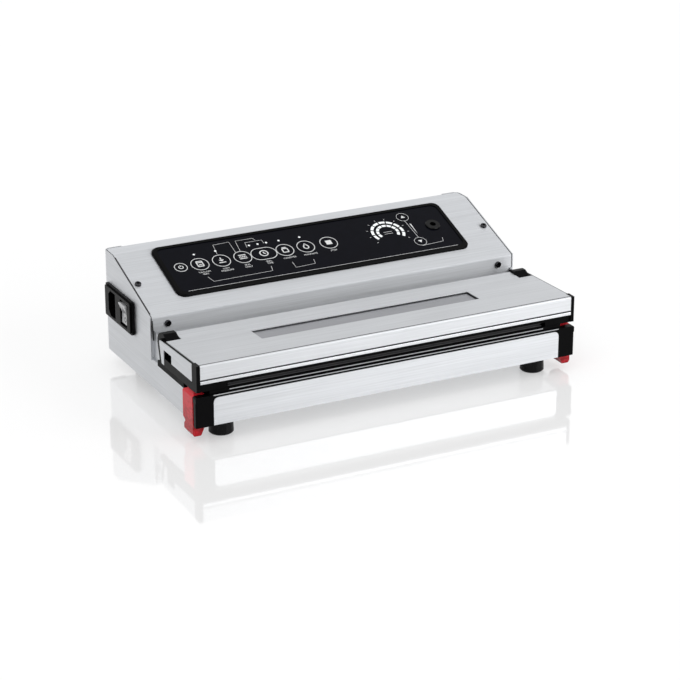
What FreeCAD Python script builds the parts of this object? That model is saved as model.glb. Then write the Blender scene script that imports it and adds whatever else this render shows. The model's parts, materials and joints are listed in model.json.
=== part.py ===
import FreeCAD, Part
import math
import os
from FreeCAD import Placement, Rotation, Vector

# Vacuum sealer with a hinged lid, a sloped control housing and two latch levers.
# Millimetres, +X to the right, +Y to the back, +Z up, origin on the floor under the middle.

# Whole body
BODY_WIDTH = 377.0
DEPTH = 217.0
HEIGHT = 113.5
LID_OVERHANG = 2.5
FRONT_OVERHANG = 3.5
SHEET = 1.0
SEAM = 0.5
SIDE_SEAM = 0.9
RUN_GAP = 0.4
SHAFT_GAP = 0.05
PLASTIC_WALL = 2.4

# Control housing
HOUSING_SHARE = 0.506
TOP_DEPTH = 20.3
LIP_HEIGHT = 21.6
LEDGE_DEPTH = 7.2
SHEET_BEND = 2.6
LEDGE_BEND = 5.0
REAR_BEND = 7.0
REAR_RETURN = 18.0
REAR_FLANGE = 14.0
CHEEK_DROP = 13.5
CHEEK_STEP = 3.0
CHEEK_BEHIND_HINGE = 4.0
VENT_PITCH = 9.0
VENT_WIDTH = 4.0
VENT_RISE = 30.0
VENT_HEIGHT = 34.0
VENT_COUNT = 7

# Base
FOOT_HEIGHT = 16.0
FOOT_RADIUS = 11.3
FOOT_SIDE_INSET = 29.0
FOOT_FRONT_INSET = 20.5
FOOT_BACK_INSET = 28.5
FOOT_BEVEL = 1.2
SIDE_HEIGHT = 27.0
SIDE_BEND = 2.5
SIDE_FLANGE = 9.0
DECK_THICKNESS = 5.5
DECK_SETBACK = 2.0
DECK_RISE_TO_LEDGE = 12.0
PAN_FLANGE = 15.0
PANEL_FRONT_HEIGHT = 25.8
PANEL_FRONT_RISE = 0.4
PANEL_FRONT_SIDE = 1.6
PANEL_CORNER = 4.5
APRON_HEIGHT = 1.8
APRON_BACKING = 1.2
FACE_SETBACK = 0.3

# Vacuum chamber and sealing bar, measured back from the front face
BAR_FRONT = 5.5
BAR_WIDTH = 11.0
BAR_END_INSET = 29.5
BAR_SINK = 3.5
BAR_PROUD = 1.0
WIRE_WIDTH = 3.0
FILM = 0.3
CHAMBER_FRONT = 20.5
CHAMBER_BACK_INSET = 14.2
CHAMBER_END_INSET = 18.5
GASKET_WIDTH = 8.0
GASKET_SINK = 3.0
GASKET_PROUD = 3.6
CHAMBER_CORNER = 14.0
TROUGH_MARGIN = 1.5
TROUGH_END_MARGIN = 4.0
TROUGH_DEPTH = 12.0
TROUGH_CORNER_SHARE = 0.25
SUCTION_X = 40.0
SUCTION_RADIUS = 2.5
HOSE_RADIUS = 4.2
HOSE_BORE = 3.2

# Lid
LID_HEIGHT = 25.4
LID_FALL = 2.2
LID_BEND_INSET = 5.7
LID_SHEET = 0.8
LID_EDGE_GAP = 1.8
LID_FACE_GAP = 0.9
LID_FLOOR = 3.5
LID_RECESS = 5.6
LID_REAR_RISE = 0.8
LID_FACE_HEIGHT = 14.4
LID_CORNER_POST = 3.6
LID_POST_DEPTH = 9.9
TRIM_HEIGHT = 3.2
TRIM_GAP = 0.4
TRIM_PROUD = 0.3
SLOT_END_INSET = 27.5
BAG_SLOT_HEIGHT = 4.2
WINDOW_END_INSET = 77.5
WINDOW_FRONT = 36.9
WINDOW_BACK = 10.0
WINDOW_SINK = 2.0
INLAY_MARGIN = 2.5
PLATE_DROP = 1.0
PLATE_LEG = 5.2
PLATE_REACH = 5.1
BAND_HEIGHT = 8.0
GRIP_NOTCH_WIDTH = 17.0
GRIP_NOTCH_RISE = 7.6
GRIP_NOTCH_SINK = 3.0

# Lid hinge
HINGE_BEHIND_LIP = 22.2
HINGE_RISE = 16.5
EAR_RADIUS = 10.0
EAR_WIDTH = 12.7
EAR_SETBACK = 3.2
REAR_STRIP_REACH = 2.5
EAR_GAP = 1.7
LUG_RADIUS = 5.8
LUG_WIDTH = 12.5
LUG_GAP = 1.2
HINGE_PIN_RADIUS = 2.5
LID_BACK_GAP = 8.3

# Latches
POST_WIDTH = 15.4
POST_DEPTH = 6.2
LATCH_CHEEK = 1.5
LEVER_THICKNESS = 11.3
LEVER_WIDTH = 21.0
LEVER_PROUD = 0.3
LEVER_FOOT = 5.5
LEVER_GAP = 0.6
LATCH_PIN_RADIUS = 2.0
LATCH_PIN_RISE = 15.5
LATCH_PIN_INSET = 6.3
HOOK_HEIGHT = 8.8
HOOK_THICKNESS = 5.5
HOOK_NOSE = 2.4
HOOK_NOSE_HEIGHT = 2.4
HOOK_INSET = 3.6
CATCH_GAP = 0.5
CATCH_RISE = 3.4
CATCH_WIDTH = 4.1
HOOK_ROOM_RISE = 2.4

# Control panel, in the slope's own frame: across, up the slope, out of the sheet
PANEL_END_INSET = 36.5
PANEL_HEIGHT = 74.0
PANEL_BELOW_TOP = 1.5
PANEL_RADIUS = 8.5
BEZEL_BORDER = 4.5
BEZEL_HEIGHT = 2.6
OVERLAY_HEIGHT = 1.9
KEY_ROW = 12.6
KEY_PITCH = 21.75
POWER_KEY_INSET = 18.1
FIRST_KEY_STEP = 19.2
STOP_KEY_STEP = 132.9
KEY_RADIUS = 7.0
SMALL_KEY_RADIUS = 4.8
WIDE_KEY_HALF = 4.2
KEY_GAP = 0.25
KEY_PROUD = 0.3
KEY_LIFT = 0.6
KEY_STEM_RADIUS = 2.2
KEY_STEM_DEPTH = 5.2
STEM_HOLE_GAP = 0.8
SIDE_KEY_STEP = 23.6
UP_KEY_V = 31.8
DOWN_KEY_V = -7.6
LAMP_ROW = 26.7
LAMP_RADIUS = 1.1
LAMP_DEPTH = 0.7
LAMP_PROUD = 0.1
TIMER_LAMP_PITCH = 8.9
GAUGE_STEP = 48.5
GAUGE_V = 12.5
GAUGE_OUTER_RADIUS = 16.9
GAUGE_INNER_RADIUS = 11.6
GAUGE_BAND = 2.8
GAUGE_SEGMENTS = 9
GAUGE_SWEEP_ANGLE = 250.0
GAUGE_START_ANGLE = 215.0
GAUGE_SPACE_ANGLE = 5.0
PORT_INSET = 21.5
PORT_V = 12.0
PORT_FLANGE = 7.3
PORT_FLANGE_HEIGHT = 1.6
PORT_BODY = 5.0
PORT_BORE = 3.0
PORT_BORE_DEPTH = 11.4
PORT_BODY_DEPTH = 14.0
BARB_RADIUS = 3.1
BARB_BORE = 1.5
BARB_LENGTH = 9.0

# Control board, under the slope
BOARD_KEY_MARGIN = 10.6
BOARD_HEIGHT = 58.0
BOARD_THICKNESS = 1.6
BOARD_V = 12.0
BOARD_DEPTH = 9.5
BOARD_POST_RADIUS = 3.0
BOARD_POST_INSET = 4.0
SWITCH_SIZE = 6.0
SWITCH_GAP = 0.8
CHIP_SIZE = 18.0
CHIP_HEIGHT = 1.6
RELAY_LENGTH = 19.0
RELAY_WIDTH = 15.0
RELAY_HEIGHT = 9.0
RELAY_INSET = 24.0
CAN_RADIUS = 4.0
CAN_HEIGHT = 10.0
CAN_PITCH = 14.0
CAN_COUNT = 3

# Power inlet module on the left side
INLET_LENGTH = 62.8
INLET_HEIGHT = 32.5
INLET_PROUD = 4.0
INLET_BACK = 9.4
INLET_BELOW_TOP = 45.4
INLET_STEP = 3.4
INLET_DEPTH = 19.0
SOCKET_WIDTH = 16.5
SOCKET_HEIGHT = 24.4
SOCKET_DEPTH = 17.0
SOCKET_CHAMFER = 4.6
SOCKET_INSET = 10.0
CONTACT_LENGTH = 11.5
CONTACT_WIDTH = 4.0
CONTACT_THICKNESS = 2.0
CONTACT_SPREAD = 7.0
ROCKER_WIDTH = 15.0
ROCKER_HALF = 10.8
ROCKER_FRONT_INSET = 9.0
ROCKER_TILT = 10.0
ROCKER_SINK = 4.5
ROCKER_GAP = 0.4
ROCKER_END_GAP = 1.4
ROCKER_PIVOT_RADIUS = 1.5
ROCKER_WELL_DEPTH = 15.0

# Pump, valve and transformer inside the housing
PUMP_BACK = 43.5
PUMP_RISE = 40.5
MOTOR_RADIUS = 27.0
MOTOR_LENGTH = 60.0
MOTOR_BELL_RADIUS = 20.0
MOTOR_BELL_LENGTH = 4.0
CRANKCASE_RADIUS = 26.0
CRANKCASE_LENGTH = 54.0
PUMP_SPLIT_X = 10.0
CYLINDER_RADIUS = 14.0
CYLINDER_REACH = 36.0
FIN_RADIUS = 17.0
FIN_COUNT = 3
FIN_PITCH = 3.4
FIN_THICKNESS = 1.6
SHAFT_RADIUS = 3.0
SHAFT_SUNK = 9.0
FAN_RADIUS = 24.0
FAN_HUB_RADIUS = 7.0
FAN_WIDTH = 8.0
FAN_OFFSET = 2.0
FAN_BLADES = 6
BLADE_THICKNESS = 1.2
BLADE_TILT = 28.0
CRADLE_PLATE = 1.5
CRADLE_WIDTH = 58.0
CRADLE_MARGIN = 8.0
CRADLE_GAP = 0.2
TRANSFORMER_SIDE_INSET = 64.5
TRANSFORMER_BACK = 46.5
CORE_WIDTH = 52.0
CORE_HEIGHT = 44.0
CORE_STACK = 26.0
CORE_LEG = 14.0
COIL_OVERHANG = 7.0
COIL_GAP = 0.2
FLANGE_REACH = 10.0
FLANGE_THICKNESS = 2.0
VALVE_WIDTH = 26.0
VALVE_DEPTH = 30.0
VALVE_HEIGHT = 21.0
VALVE_COIL_RADIUS = 10.0
VALVE_COIL_HEIGHT = 12.0
VALVE_BARB_DROP = 22.0
PORT_HOSE_BEND = 40.0
CHAMBER_HOSE_SHARE = 0.66

# Fasteners
SCREW_HEAD_RADIUS = 3.0
SCREW_HEAD_HEIGHT = 2.2
SCREW_HEAD_BEVEL = 0.5
SCREW_SHANK_RADIUS = 1.6
SCREW_LENGTH = 7.0
SCREW_SOCKET_RADIUS = 1.5
SCREW_SOCKET_DEPTH = 1.4
SLOPE_SCREW_INSET = 7.5
LIP_SCREW_INSET = 17.0
LIP_SCREW_DROP = 7.6
FOOT_SCREW_SINK = 4.5
FOOT_SCREW_GAP = 0.8

# Levels and planes that several pieces share
HALF_BODY = BODY_WIDTH / 2
HALF_LID = HALF_BODY + LID_OVERHANG
HALF_FRONT = HALF_BODY + FRONT_OVERHANG
FRONT = -DEPTH / 2
BACK = DEPTH / 2
PAN_TOP = FOOT_HEIGHT + SHEET
SIDE_TOP = FOOT_HEIGHT + SIDE_HEIGHT
DECK_TOP = SIDE_TOP + DECK_THICKNESS
LEDGE_Z = DECK_TOP + DECK_RISE_TO_LEDGE
LIP_Y = BACK - DEPTH * HOUSING_SHARE
SLOPE_FOOT_Z = LEDGE_Z + LIP_HEIGHT
SLOPE_TOP_Y = BACK - TOP_DEPTH
HINGE_Y = LIP_Y - HINGE_BEHIND_LIP
HINGE_Z = DECK_TOP + HINGE_RISE
SLOPE_RUN = SLOPE_TOP_Y - LIP_Y
SLOPE_RISE = HEIGHT - SLOPE_FOOT_Z
SLOPE_LENGTH = math.hypot(SLOPE_RUN, SLOPE_RISE)
SLOPE_ANGLE = math.degrees(math.atan2(SLOPE_RISE, SLOPE_RUN))
SLOPE_CENTRE = Vector(0, (SLOPE_TOP_Y + LIP_Y) / 2, (HEIGHT + SLOPE_FOOT_Z) / 2)
SLOPE_FRAME = Placement(SLOPE_CENTRE, Rotation(Vector(1, 0, 0), SLOPE_ANGLE))
PANEL_V = SLOPE_LENGTH / 2 - PANEL_BELOW_TOP - PANEL_HEIGHT / 2
PANEL_HALF = HALF_BODY - PANEL_END_INSET
POWER_KEY_X = -PANEL_HALF + POWER_KEY_INSET
FIRST_KEY_X = POWER_KEY_X + FIRST_KEY_STEP
STOP_KEY_X = FIRST_KEY_X + STOP_KEY_STEP
PORT_X = PANEL_HALF - PORT_INSET
SIDE_KEY_X = PORT_X - SIDE_KEY_STEP
GAUGE_X = PORT_X - GAUGE_STEP
SHEET_INSIDE = HALF_BODY - SHEET
CHEEK_OUT = HALF_BODY - CHEEK_STEP
CHEEK_IN = CHEEK_OUT - SHEET
CHEEK_FRONT = HINGE_Y + CHEEK_BEHIND_HINGE
CHEEK_TOP = SLOPE_FOOT_Z - CHEEK_DROP
UPSTAND_FRONT = LIP_Y - LEDGE_DEPTH - 1.0
UPSTAND_BACK = UPSTAND_FRONT + PLASTIC_WALL
LID_BOTTOM = DECK_TOP + RUN_GAP
LID_TOP = LID_BOTTOM + LID_HEIGHT
LID_UNDERSIDE = LID_BOTTOM + LID_RECESS
LID_POCKET_FLOOR = LID_UNDERSIDE + LID_FLOOR
LID_BACK = HINGE_Y - LID_BACK_GAP
LID_BEND_Y = LID_BACK - LID_BEND_INSET
LID_SLOPE = math.atan2(LID_FALL, LID_BEND_Y - FRONT)
LID_FRAME = Placement(Vector(0, FRONT, LID_TOP), Rotation(Vector(1, 0, 0), -math.degrees(LID_SLOPE)))
LID_FRONT = FRONT + LID_SHEET + LID_FACE_GAP
LID_SIDE = HALF_LID - LID_SHEET
EAR_OUT = LID_SIDE - EAR_SETBACK
EAR_IN = EAR_OUT - EAR_WIDTH
LUG_OUT = EAR_IN - LUG_GAP
LUG_IN = LUG_OUT - LUG_WIDTH
POST_IN = HALF_FRONT - POST_WIDTH
POST_BACK = FRONT + FACE_SETBACK + POST_DEPTH
LEVER_OUT = HALF_FRONT + LEVER_PROUD
LEVER_IN = LEVER_OUT - LEVER_THICKNESS
LEVER_FRONT = POST_BACK + LEVER_GAP
LEVER_BACK = LEVER_FRONT + LEVER_WIDTH
LATCH_BACK = LEVER_BACK + LEVER_GAP
CHEEK_BACK = LATCH_BACK + PLASTIC_WALL
LATCH_PIN_X = LEVER_OUT - LATCH_PIN_INSET
LATCH_PIN_Z = FOOT_HEIGHT + LATCH_PIN_RISE
HOOK_OUT = LEVER_IN + HOOK_THICKNESS
NOSE_IN = LEVER_IN - HOOK_NOSE
HOOK_TOP = LID_BOTTOM + HOOK_HEIGHT
CATCH_EDGE = NOSE_IN - CATCH_GAP
CATCH_TOP = LID_BOTTOM + CATCH_RISE
CAP_IN = CATCH_EDGE - CATCH_WIDTH
DECK_NOTCH_X = CATCH_EDGE + 0.2
CHAMBER_Y0 = FRONT + CHAMBER_FRONT
CHAMBER_Y1 = LID_BACK - CHAMBER_BACK_INSET
CHAMBER_X = HALF_BODY - CHAMBER_END_INSET
CHAMBER_RECESS_X = CHAMBER_X + 2.0
TROUGH_X = CHAMBER_X - GASKET_WIDTH - TROUGH_END_MARGIN
TROUGH_Y0 = CHAMBER_Y0 + GASKET_WIDTH + TROUGH_MARGIN
TROUGH_Y1 = CHAMBER_Y1 - GASKET_WIDTH - TROUGH_MARGIN
TROUGH_FLOOR = DECK_TOP - TROUGH_DEPTH
TROUGH_CORNER = (TROUGH_Y1 - TROUGH_Y0) * TROUGH_CORNER_SHARE
BAR_HALF = HALF_BODY - BAR_END_INSET
BAR_Y0 = FRONT + BAR_FRONT
BAR_Y1 = BAR_Y0 + BAR_WIDTH
BAR_TOP = DECK_TOP + BAR_PROUD
TAPE_TOP = BAR_TOP + 2 * FILM
NOZZLE_Z = TROUGH_FLOOR - PLASTIC_WALL - HOSE_RADIUS
NOZZLE_Y = (TROUGH_Y0 + TROUGH_Y1) / 2
INLET_Y1 = BACK - INLET_BACK
INLET_Y0 = INLET_Y1 - INLET_LENGTH
INLET_CENTRE_Z = HEIGHT - INLET_BELOW_TOP
INLET_FACE = -HALF_BODY - INLET_PROUD
SOCKET_Y1 = INLET_Y1 - SOCKET_INSET
SOCKET_Y0 = SOCKET_Y1 - SOCKET_WIDTH
ROCKER_Y0 = INLET_Y0 + ROCKER_FRONT_INSET
ROCKER_Y1 = ROCKER_Y0 + ROCKER_WIDTH
ROCKER_PIVOT_X = INLET_FACE + ROCKER_SINK
PUMP_Y = BACK - PUMP_BACK
PUMP_Z = FOOT_HEIGHT + PUMP_RISE
VALVE_BARB_Z = PUMP_Z - VALVE_BARB_DROP
TRANSFORMER_X = -HALF_BODY + TRANSFORMER_SIDE_INSET
TRANSFORMER_Y = BACK - TRANSFORMER_BACK
FOOT_SCREW_SEAT = FOOT_HEIGHT - FOOT_SCREW_SINK
MOTOR_X0 = PUMP_SPLIT_X - MOTOR_LENGTH
CRANKCASE_X1 = PUMP_SPLIT_X + CRANKCASE_LENGTH
OUT = 60.0


def yz(x):
    """Flat plane across the width, at x."""
    return lambda u, v: Vector(x, u, v)


def xz(y):
    """Upright plane along the width, at y."""
    return lambda u, v: Vector(u, y, v)


def xy(z):
    """Level plane at z."""
    return lambda u, v: Vector(u, v, z)


def box(x0, x1, y0, y1, z0, z1):
    """Block between two corners."""
    return Part.makeBox(x1 - x0, y1 - y0, z1 - z0, Vector(x0, y0, z0))


def both_sides(x0, x1, y0, y1, z0, z1):
    """Right-hand block and its mirror image."""
    right = box(x0, x1, y0, y1, z0, z1)
    return right.fuse(mirrored(right))


def mirrored(shape):
    """Left-hand copy of a right-hand shape."""
    return shape.mirror(Vector(0, 0, 0), Vector(1, 0, 0))


def rod(radius, start, end):
    """Round bar from one point to another."""
    along = end - start
    return Part.makeCylinder(radius, along.Length, start, along)


def fillet_points(before, corner, after, radius):
    """Start, middle and end of the arc that rounds one corner of an outline."""
    back = (before - corner).normalize()
    ahead = (after - corner).normalize()
    half = back.getAngle(ahead) / 2
    reach = radius / math.tan(half)
    bisector = (back + ahead).normalize()
    centre = corner + bisector * (radius / math.sin(half))
    return corner + back * reach, centre - bisector * radius, corner + ahead * reach


def edges_between(rounds, place, closed):
    """Lines and arcs through rounded corners, laid on a plane."""
    edges = []
    last = len(rounds) - 1
    for i, (start, middle, end) in enumerate(rounds):
        if middle is not None:
            arc = [place(p.x, p.y) for p in (start, middle, end)]
            edges.append(Part.Arc(*arc).toShape())
        if i == last and not closed:
            break
        following = rounds[(i + 1) % len(rounds)][0]
        if end.distanceToPoint(following) > 1e-6:
            edges.append(Part.LineSegment(place(end.x, end.y), place(following.x, following.y)).toShape())
    return edges


def outline(corners, place):
    """Closed wire through corners (u, v) or (u, v, radius)."""
    flat = [Vector(c[0], c[1], 0) for c in corners]
    rounds = []
    for i, corner in enumerate(corners):
        if len(corner) > 2:
            following = flat[(i + 1) % len(flat)]
            rounds.append(fillet_points(flat[i - 1], flat[i], following, corner[2]))
        else:
            rounds.append((flat[i], None, flat[i]))
    return Part.Wire(edges_between(rounds, place, True))


def prism(corners, place, along):
    """Solid from a flat outline pushed along a vector."""
    return Part.Face(outline(corners, place)).extrude(along)


def rounded_plate(x0, x1, y0, y1, z0, z1, radius):
    """Level plate with rounded corners."""
    corners = [(x0, y0, radius), (x1, y0, radius), (x1, y1, radius), (x0, y1, radius)]
    return prism(corners, xy(z0), Vector(0, 0, z1 - z0))


def ring_plate(x1, y0, y1, z0, z1, radius, width):
    """Rounded frame of even width, centred on x = 0."""
    outer = rounded_plate(-x1, x1, y0, y1, z0, z1, radius)
    inner = rounded_plate(-x1 + width, x1 - width, y0 + width, y1 - width, z0, z1, radius - width)
    return outer.cut(inner)


def bent_sheet(path, thickness, place, along):
    """Folded sheet: path (u, v, bend radius) is its outer skin, with the metal on the left of travel."""
    flat = [Vector(p[0], p[1], 0) for p in path]
    sides = []
    for offset in (0.0, thickness):
        rounds = []
        for i, point in enumerate(flat):
            ways = [flat[k + 1] - flat[k] for k in (i - 1, i) if 0 <= k < len(flat) - 1]
            normals = [Vector(-w.y, w.x, 0).normalize() for w in ways]
            if len(ways) == 1:
                spot = point + normals[0] * offset
                rounds.append((spot, None, spot))
                continue
            start, middle, end = fillet_points(flat[i - 1], point, flat[i + 1], path[i][2])
            inward = (normals[0] + normals[1]).normalize()
            rounds.append((start + normals[0] * offset, middle + inward * offset, end + normals[1] * offset))
        sides.append(rounds)
    back = [(end, middle, start) for start, middle, end in reversed(sides[1])]
    return Part.Face(Part.Wire(edges_between(sides[0] + back, place, True))).extrude(along)


def on_slope(shape):
    """Move a shape from the slope's own frame to its place on the housing."""
    placed = shape.copy()
    placed.Placement = SLOPE_FRAME.multiply(placed.Placement)
    return placed


def on_lid(shape):
    """Move a shape from the lid's sloping top, measured from its front edge, to its place."""
    placed = shape.copy()
    placed.Placement = LID_FRAME.multiply(placed.Placement)
    return placed


def lid_top(y):
    """Height of the lid's outer skin at y."""
    return LID_TOP - (y - FRONT) * math.tan(LID_SLOPE)


def lid_inside(y):
    """Height of the lid sheet's inner skin at y."""
    return lid_top(y) - LID_SHEET / math.cos(LID_SLOPE)


def slope_disc(x, v, radius, n0, n1):
    """Round bar standing on the slope, in the slope's own frame."""
    return rod(radius, Vector(x, v, n0), Vector(x, v, n1))


def slope_pill(x, v, half, radius, n0, n1):
    """Oval bar standing on the slope, in the slope's own frame."""
    if half == 0:
        return slope_disc(x, v, radius, n0, n1)
    middle = box(x - half, x + half, v - radius, v + radius, n0, n1)
    ends = [slope_disc(x + side * half, v, radius, n0, n1) for side in (-1, 1)]
    return middle.multiFuse(ends).removeSplitter()


def key_places():
    """Name, x, v, half length and radius of every key on the panel."""
    row = ["vacuum_seal", "pressure", "seal", "seal_time", "canister", "marinate"]
    places = [("key_power", POWER_KEY_X, KEY_ROW, 0, SMALL_KEY_RADIUS)]
    for i, name in enumerate(row):
        half = WIDE_KEY_HALF if name == "seal_time" else 0
        places.append(("key_" + name, FIRST_KEY_X + i * KEY_PITCH, KEY_ROW, half, KEY_RADIUS))
    places.append(("key_stop", STOP_KEY_X, KEY_ROW, 0, KEY_RADIUS))
    places.append(("key_up", SIDE_KEY_X, UP_KEY_V, 0, SMALL_KEY_RADIUS))
    places.append(("key_down", SIDE_KEY_X, DOWN_KEY_V, 0, SMALL_KEY_RADIUS))
    return places


def screw_places():
    """Point on the surface and outward direction of every housing screw."""
    places = []
    out = SLOPE_FRAME.Rotation.multVec(Vector(0, 0, 1))
    for side in (-1, 1):
        on_sheet = Vector(side * (HALF_BODY - SLOPE_SCREW_INSET), 0, 0)
        places.append((SLOPE_FRAME.multVec(on_sheet), out))
        lip_x = side * (HALF_BODY - LIP_SCREW_INSET)
        places.append((Vector(lip_x, LIP_Y, SLOPE_FOOT_Z - LIP_SCREW_DROP), Vector(0, -1, 0)))
    return places


def foot_places():
    """Centres of the four feet on the floor."""
    rows = (FRONT + FOOT_FRONT_INSET, BACK - FOOT_BACK_INSET)
    x = HALF_BODY - FOOT_SIDE_INSET
    return [Vector(side * x, y, 0) for side in (-1, 1) for y in rows]


def inlet_outline(step, radius):
    """Corners of the inlet module seen from the side, set in by a step."""
    z0 = INLET_CENTRE_Z - INLET_HEIGHT / 2 + step
    z1 = INLET_CENTRE_Z + INLET_HEIGHT / 2 - step
    y0 = INLET_Y0 + step
    y1 = INLET_Y1 - step
    return [(y0, z0, radius), (y1, z0, radius), (y1, z1, radius), (y0, z1, radius)]


def side_panel():
    """Right side: tall sheet with a rounded return on to the back, low front wall bent in under the deck."""
    path = [(HALF_BODY, LIP_Y), (HALF_BODY, BACK, REAR_BEND), (HALF_BODY - REAR_RETURN, BACK)]
    wrap = bent_sheet(path, SHEET, xy(FOOT_HEIGHT), Vector(0, 0, HEIGHT - FOOT_HEIGHT))
    profile = [
        (LIP_Y, FOOT_HEIGHT),
        (BACK, FOOT_HEIGHT),
        (BACK, HEIGHT),
        (SLOPE_TOP_Y, HEIGHT),
        (LIP_Y, SLOPE_FOOT_Z),
    ]
    tall = wrap.common(prism(profile, yz(HALF_BODY - OUT), Vector(2 * OUT, 0, 0)))
    fold = [(HALF_BODY, FOOT_HEIGHT), (HALF_BODY, SIDE_TOP, SIDE_BEND), (HALF_BODY - SIDE_FLANGE, SIDE_TOP)]
    low = bent_sheet(fold, SHEET, xz(CHEEK_BACK), Vector(0, LIP_Y - CHEEK_BACK, 0))
    step = box(CHEEK_IN, HALF_BODY - SHEET, LIP_Y, LIP_Y + SHEET, SIDE_TOP - SHEET, CHEEK_TOP)
    cheek = box(CHEEK_IN, CHEEK_OUT, CHEEK_FRONT, LIP_Y + SHEET, SIDE_TOP - SHEET, CHEEK_TOP)
    ear_room = rod(EAR_RADIUS + EAR_GAP, Vector(HALF_BODY - OUT, HINGE_Y, HINGE_Z),
                   Vector(HALF_BODY + OUT, HINGE_Y, HINGE_Z))
    return tall.multiFuse([low, step, cheek.cut(ear_room)]).removeSplitter()


def side_panel_left():
    """Left side, with the opening for the inlet module."""
    opening = prism(inlet_outline(INLET_STEP, 1.0), yz(-HALF_BODY - OUT), Vector(2 * OUT, 0, 0))
    return mirrored(side_panel()).cut(opening)


def rear_panel():
    """Flat sheet behind the side returns, with two fields of vent slots."""
    edge = HALF_BODY - REAR_RETURN / 2
    sheet = box(-edge, edge, BACK - 2 * SHEET, BACK - SHEET, PAN_TOP, HEIGHT - 2 * SHEET_BEND)
    half = VENT_WIDTH / 2
    radius = half * 0.95
    z0 = FOOT_HEIGHT + VENT_RISE
    z1 = z0 + VENT_HEIGHT
    slots = []
    for field in (-1, 1):
        for i in range(VENT_COUNT):
            x = field * BODY_WIDTH / 4 + (i - (VENT_COUNT - 1) / 2) * VENT_PITCH
            corners = [(x - half, z0, radius), (x + half, z0, radius),
                       (x + half, z1, radius), (x - half, z1, radius)]
            slots.append(prism(corners, xz(BACK - 3 * SHEET), Vector(0, 3 * SHEET, 0)))
    return sheet.cut(Part.makeCompound(slots))


def control_housing():
    """Folded sheet: rear flange, flat top, slope, upright lip and ledge."""
    half = SHEET_INSIDE - SIDE_SEAM
    path = [
        (BACK, HEIGHT - REAR_FLANGE),
        (BACK, HEIGHT, SHEET_BEND),
        (SLOPE_TOP_Y, HEIGHT, SHEET_BEND),
        (LIP_Y, SLOPE_FOOT_Z, SHEET_BEND),
        (LIP_Y, LEDGE_Z, LEDGE_BEND),
        (LIP_Y - LEDGE_DEPTH, LEDGE_Z),
    ]
    sheet = bent_sheet(path, SHEET, yz(-half), Vector(2 * half, 0, 0))
    return_edge = HALF_BODY - REAR_RETURN - SEAM
    rear_strip = BACK - SHEET - SEAM
    corner = REAR_BEND - SHEET - SIDE_SEAM
    plan = [
        (-half, HINGE_Y), (half, HINGE_Y), (half, rear_strip, corner), (return_edge, rear_strip),
        (return_edge, BACK), (-return_edge, BACK), (-return_edge, rear_strip), (-half, rear_strip, corner),
    ]
    sheet = sheet.common(prism(plan, xy(0), Vector(0, 0, 2 * HEIGHT)))
    cuts = [both_sides(CHEEK_IN - RUN_GAP, HALF_BODY, HINGE_Y, LIP_Y + 2 * SHEET,
                       LEDGE_Z - SHEET, CHEEK_TOP + RUN_GAP)]
    for _, x, v, _, _ in key_places():
        hole = slope_disc(x, v, KEY_STEM_RADIUS + STEM_HOLE_GAP, -2 * SHEET, SHEET)
        cuts.append(on_slope(hole))
    cuts.append(on_slope(slope_disc(PORT_X, PORT_V, PORT_BODY + KEY_GAP, -2 * SHEET, SHEET)))
    for point, out in screw_places():
        cuts.append(rod(SCREW_SHANK_RADIUS, point - out * 3 * SHEET, point + out * SHEET))
    return sheet.cut(Part.makeCompound(cuts))


def bottom_pan():
    """Folded bottom sheet with a front and a rear upstand, notched round the latch housings."""
    front = FRONT + SHEET + APRON_BACKING
    back = BACK - 2 * SHEET
    path = [
        (front, FOOT_HEIGHT + PAN_FLANGE),
        (front, FOOT_HEIGHT, SHEET_BEND),
        (back, FOOT_HEIGHT, SHEET_BEND),
        (back, FOOT_HEIGHT + PAN_FLANGE),
    ]
    half = SHEET_INSIDE
    sheet = bent_sheet(path, SHEET, yz(-half), Vector(2 * half, 0, 0))
    cuts = [both_sides(POST_IN, HALF_FRONT, FRONT, CHEEK_BACK, 0, SIDE_TOP)]
    return_edge = HALF_BODY - REAR_RETURN
    cuts.append(both_sides(return_edge, HALF_BODY, BACK - REAR_BEND, BACK, 0, SIDE_TOP))
    for centre in foot_places():
        cuts.append(rod(SCREW_SHANK_RADIUS, centre, centre + Vector(0, 0, SIDE_TOP)))
    return sheet.cut(Part.makeCompound(cuts))


def front_face_outline(grow):
    """Corners of the front steel panel, rounded at the top, grown by a gap."""
    half = POST_IN - PANEL_FRONT_SIDE + grow
    z0 = FOOT_HEIGHT + PANEL_FRONT_RISE - grow
    z1 = z0 + PANEL_FRONT_HEIGHT + 2 * grow
    return [(-half, z0), (half, z0), (half, z1, PANEL_CORNER), (-half, z1, PANEL_CORNER)]


def front_panel():
    """Bright front sheet under the bag slot."""
    return prism(front_face_outline(0), xz(FRONT), Vector(0, SHEET, 0))


def hinge_lug():
    """Right upright on the deck that carries the hinge pin."""
    foot = DECK_TOP - 1.0
    web = prism([(LID_BACK + 1.0, foot), (HINGE_Y - LUG_RADIUS, HINGE_Z),
                 (HINGE_Y + LUG_RADIUS, HINGE_Z), (HINGE_Y + LUG_RADIUS + 2.5, foot)],
                yz(LUG_IN), Vector(LUG_WIDTH, 0, 0))
    eye = rod(LUG_RADIUS, Vector(LUG_IN, HINGE_Y, HINGE_Z), Vector(LUG_OUT, HINGE_Y, HINGE_Z))
    bore = rod(HINGE_PIN_RADIUS, Vector(LUG_IN - 1, HINGE_Y, HINGE_Z), Vector(LUG_OUT + 1, HINGE_Y, HINGE_Z))
    return web.fuse(eye).cut(bore).removeSplitter()


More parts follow.
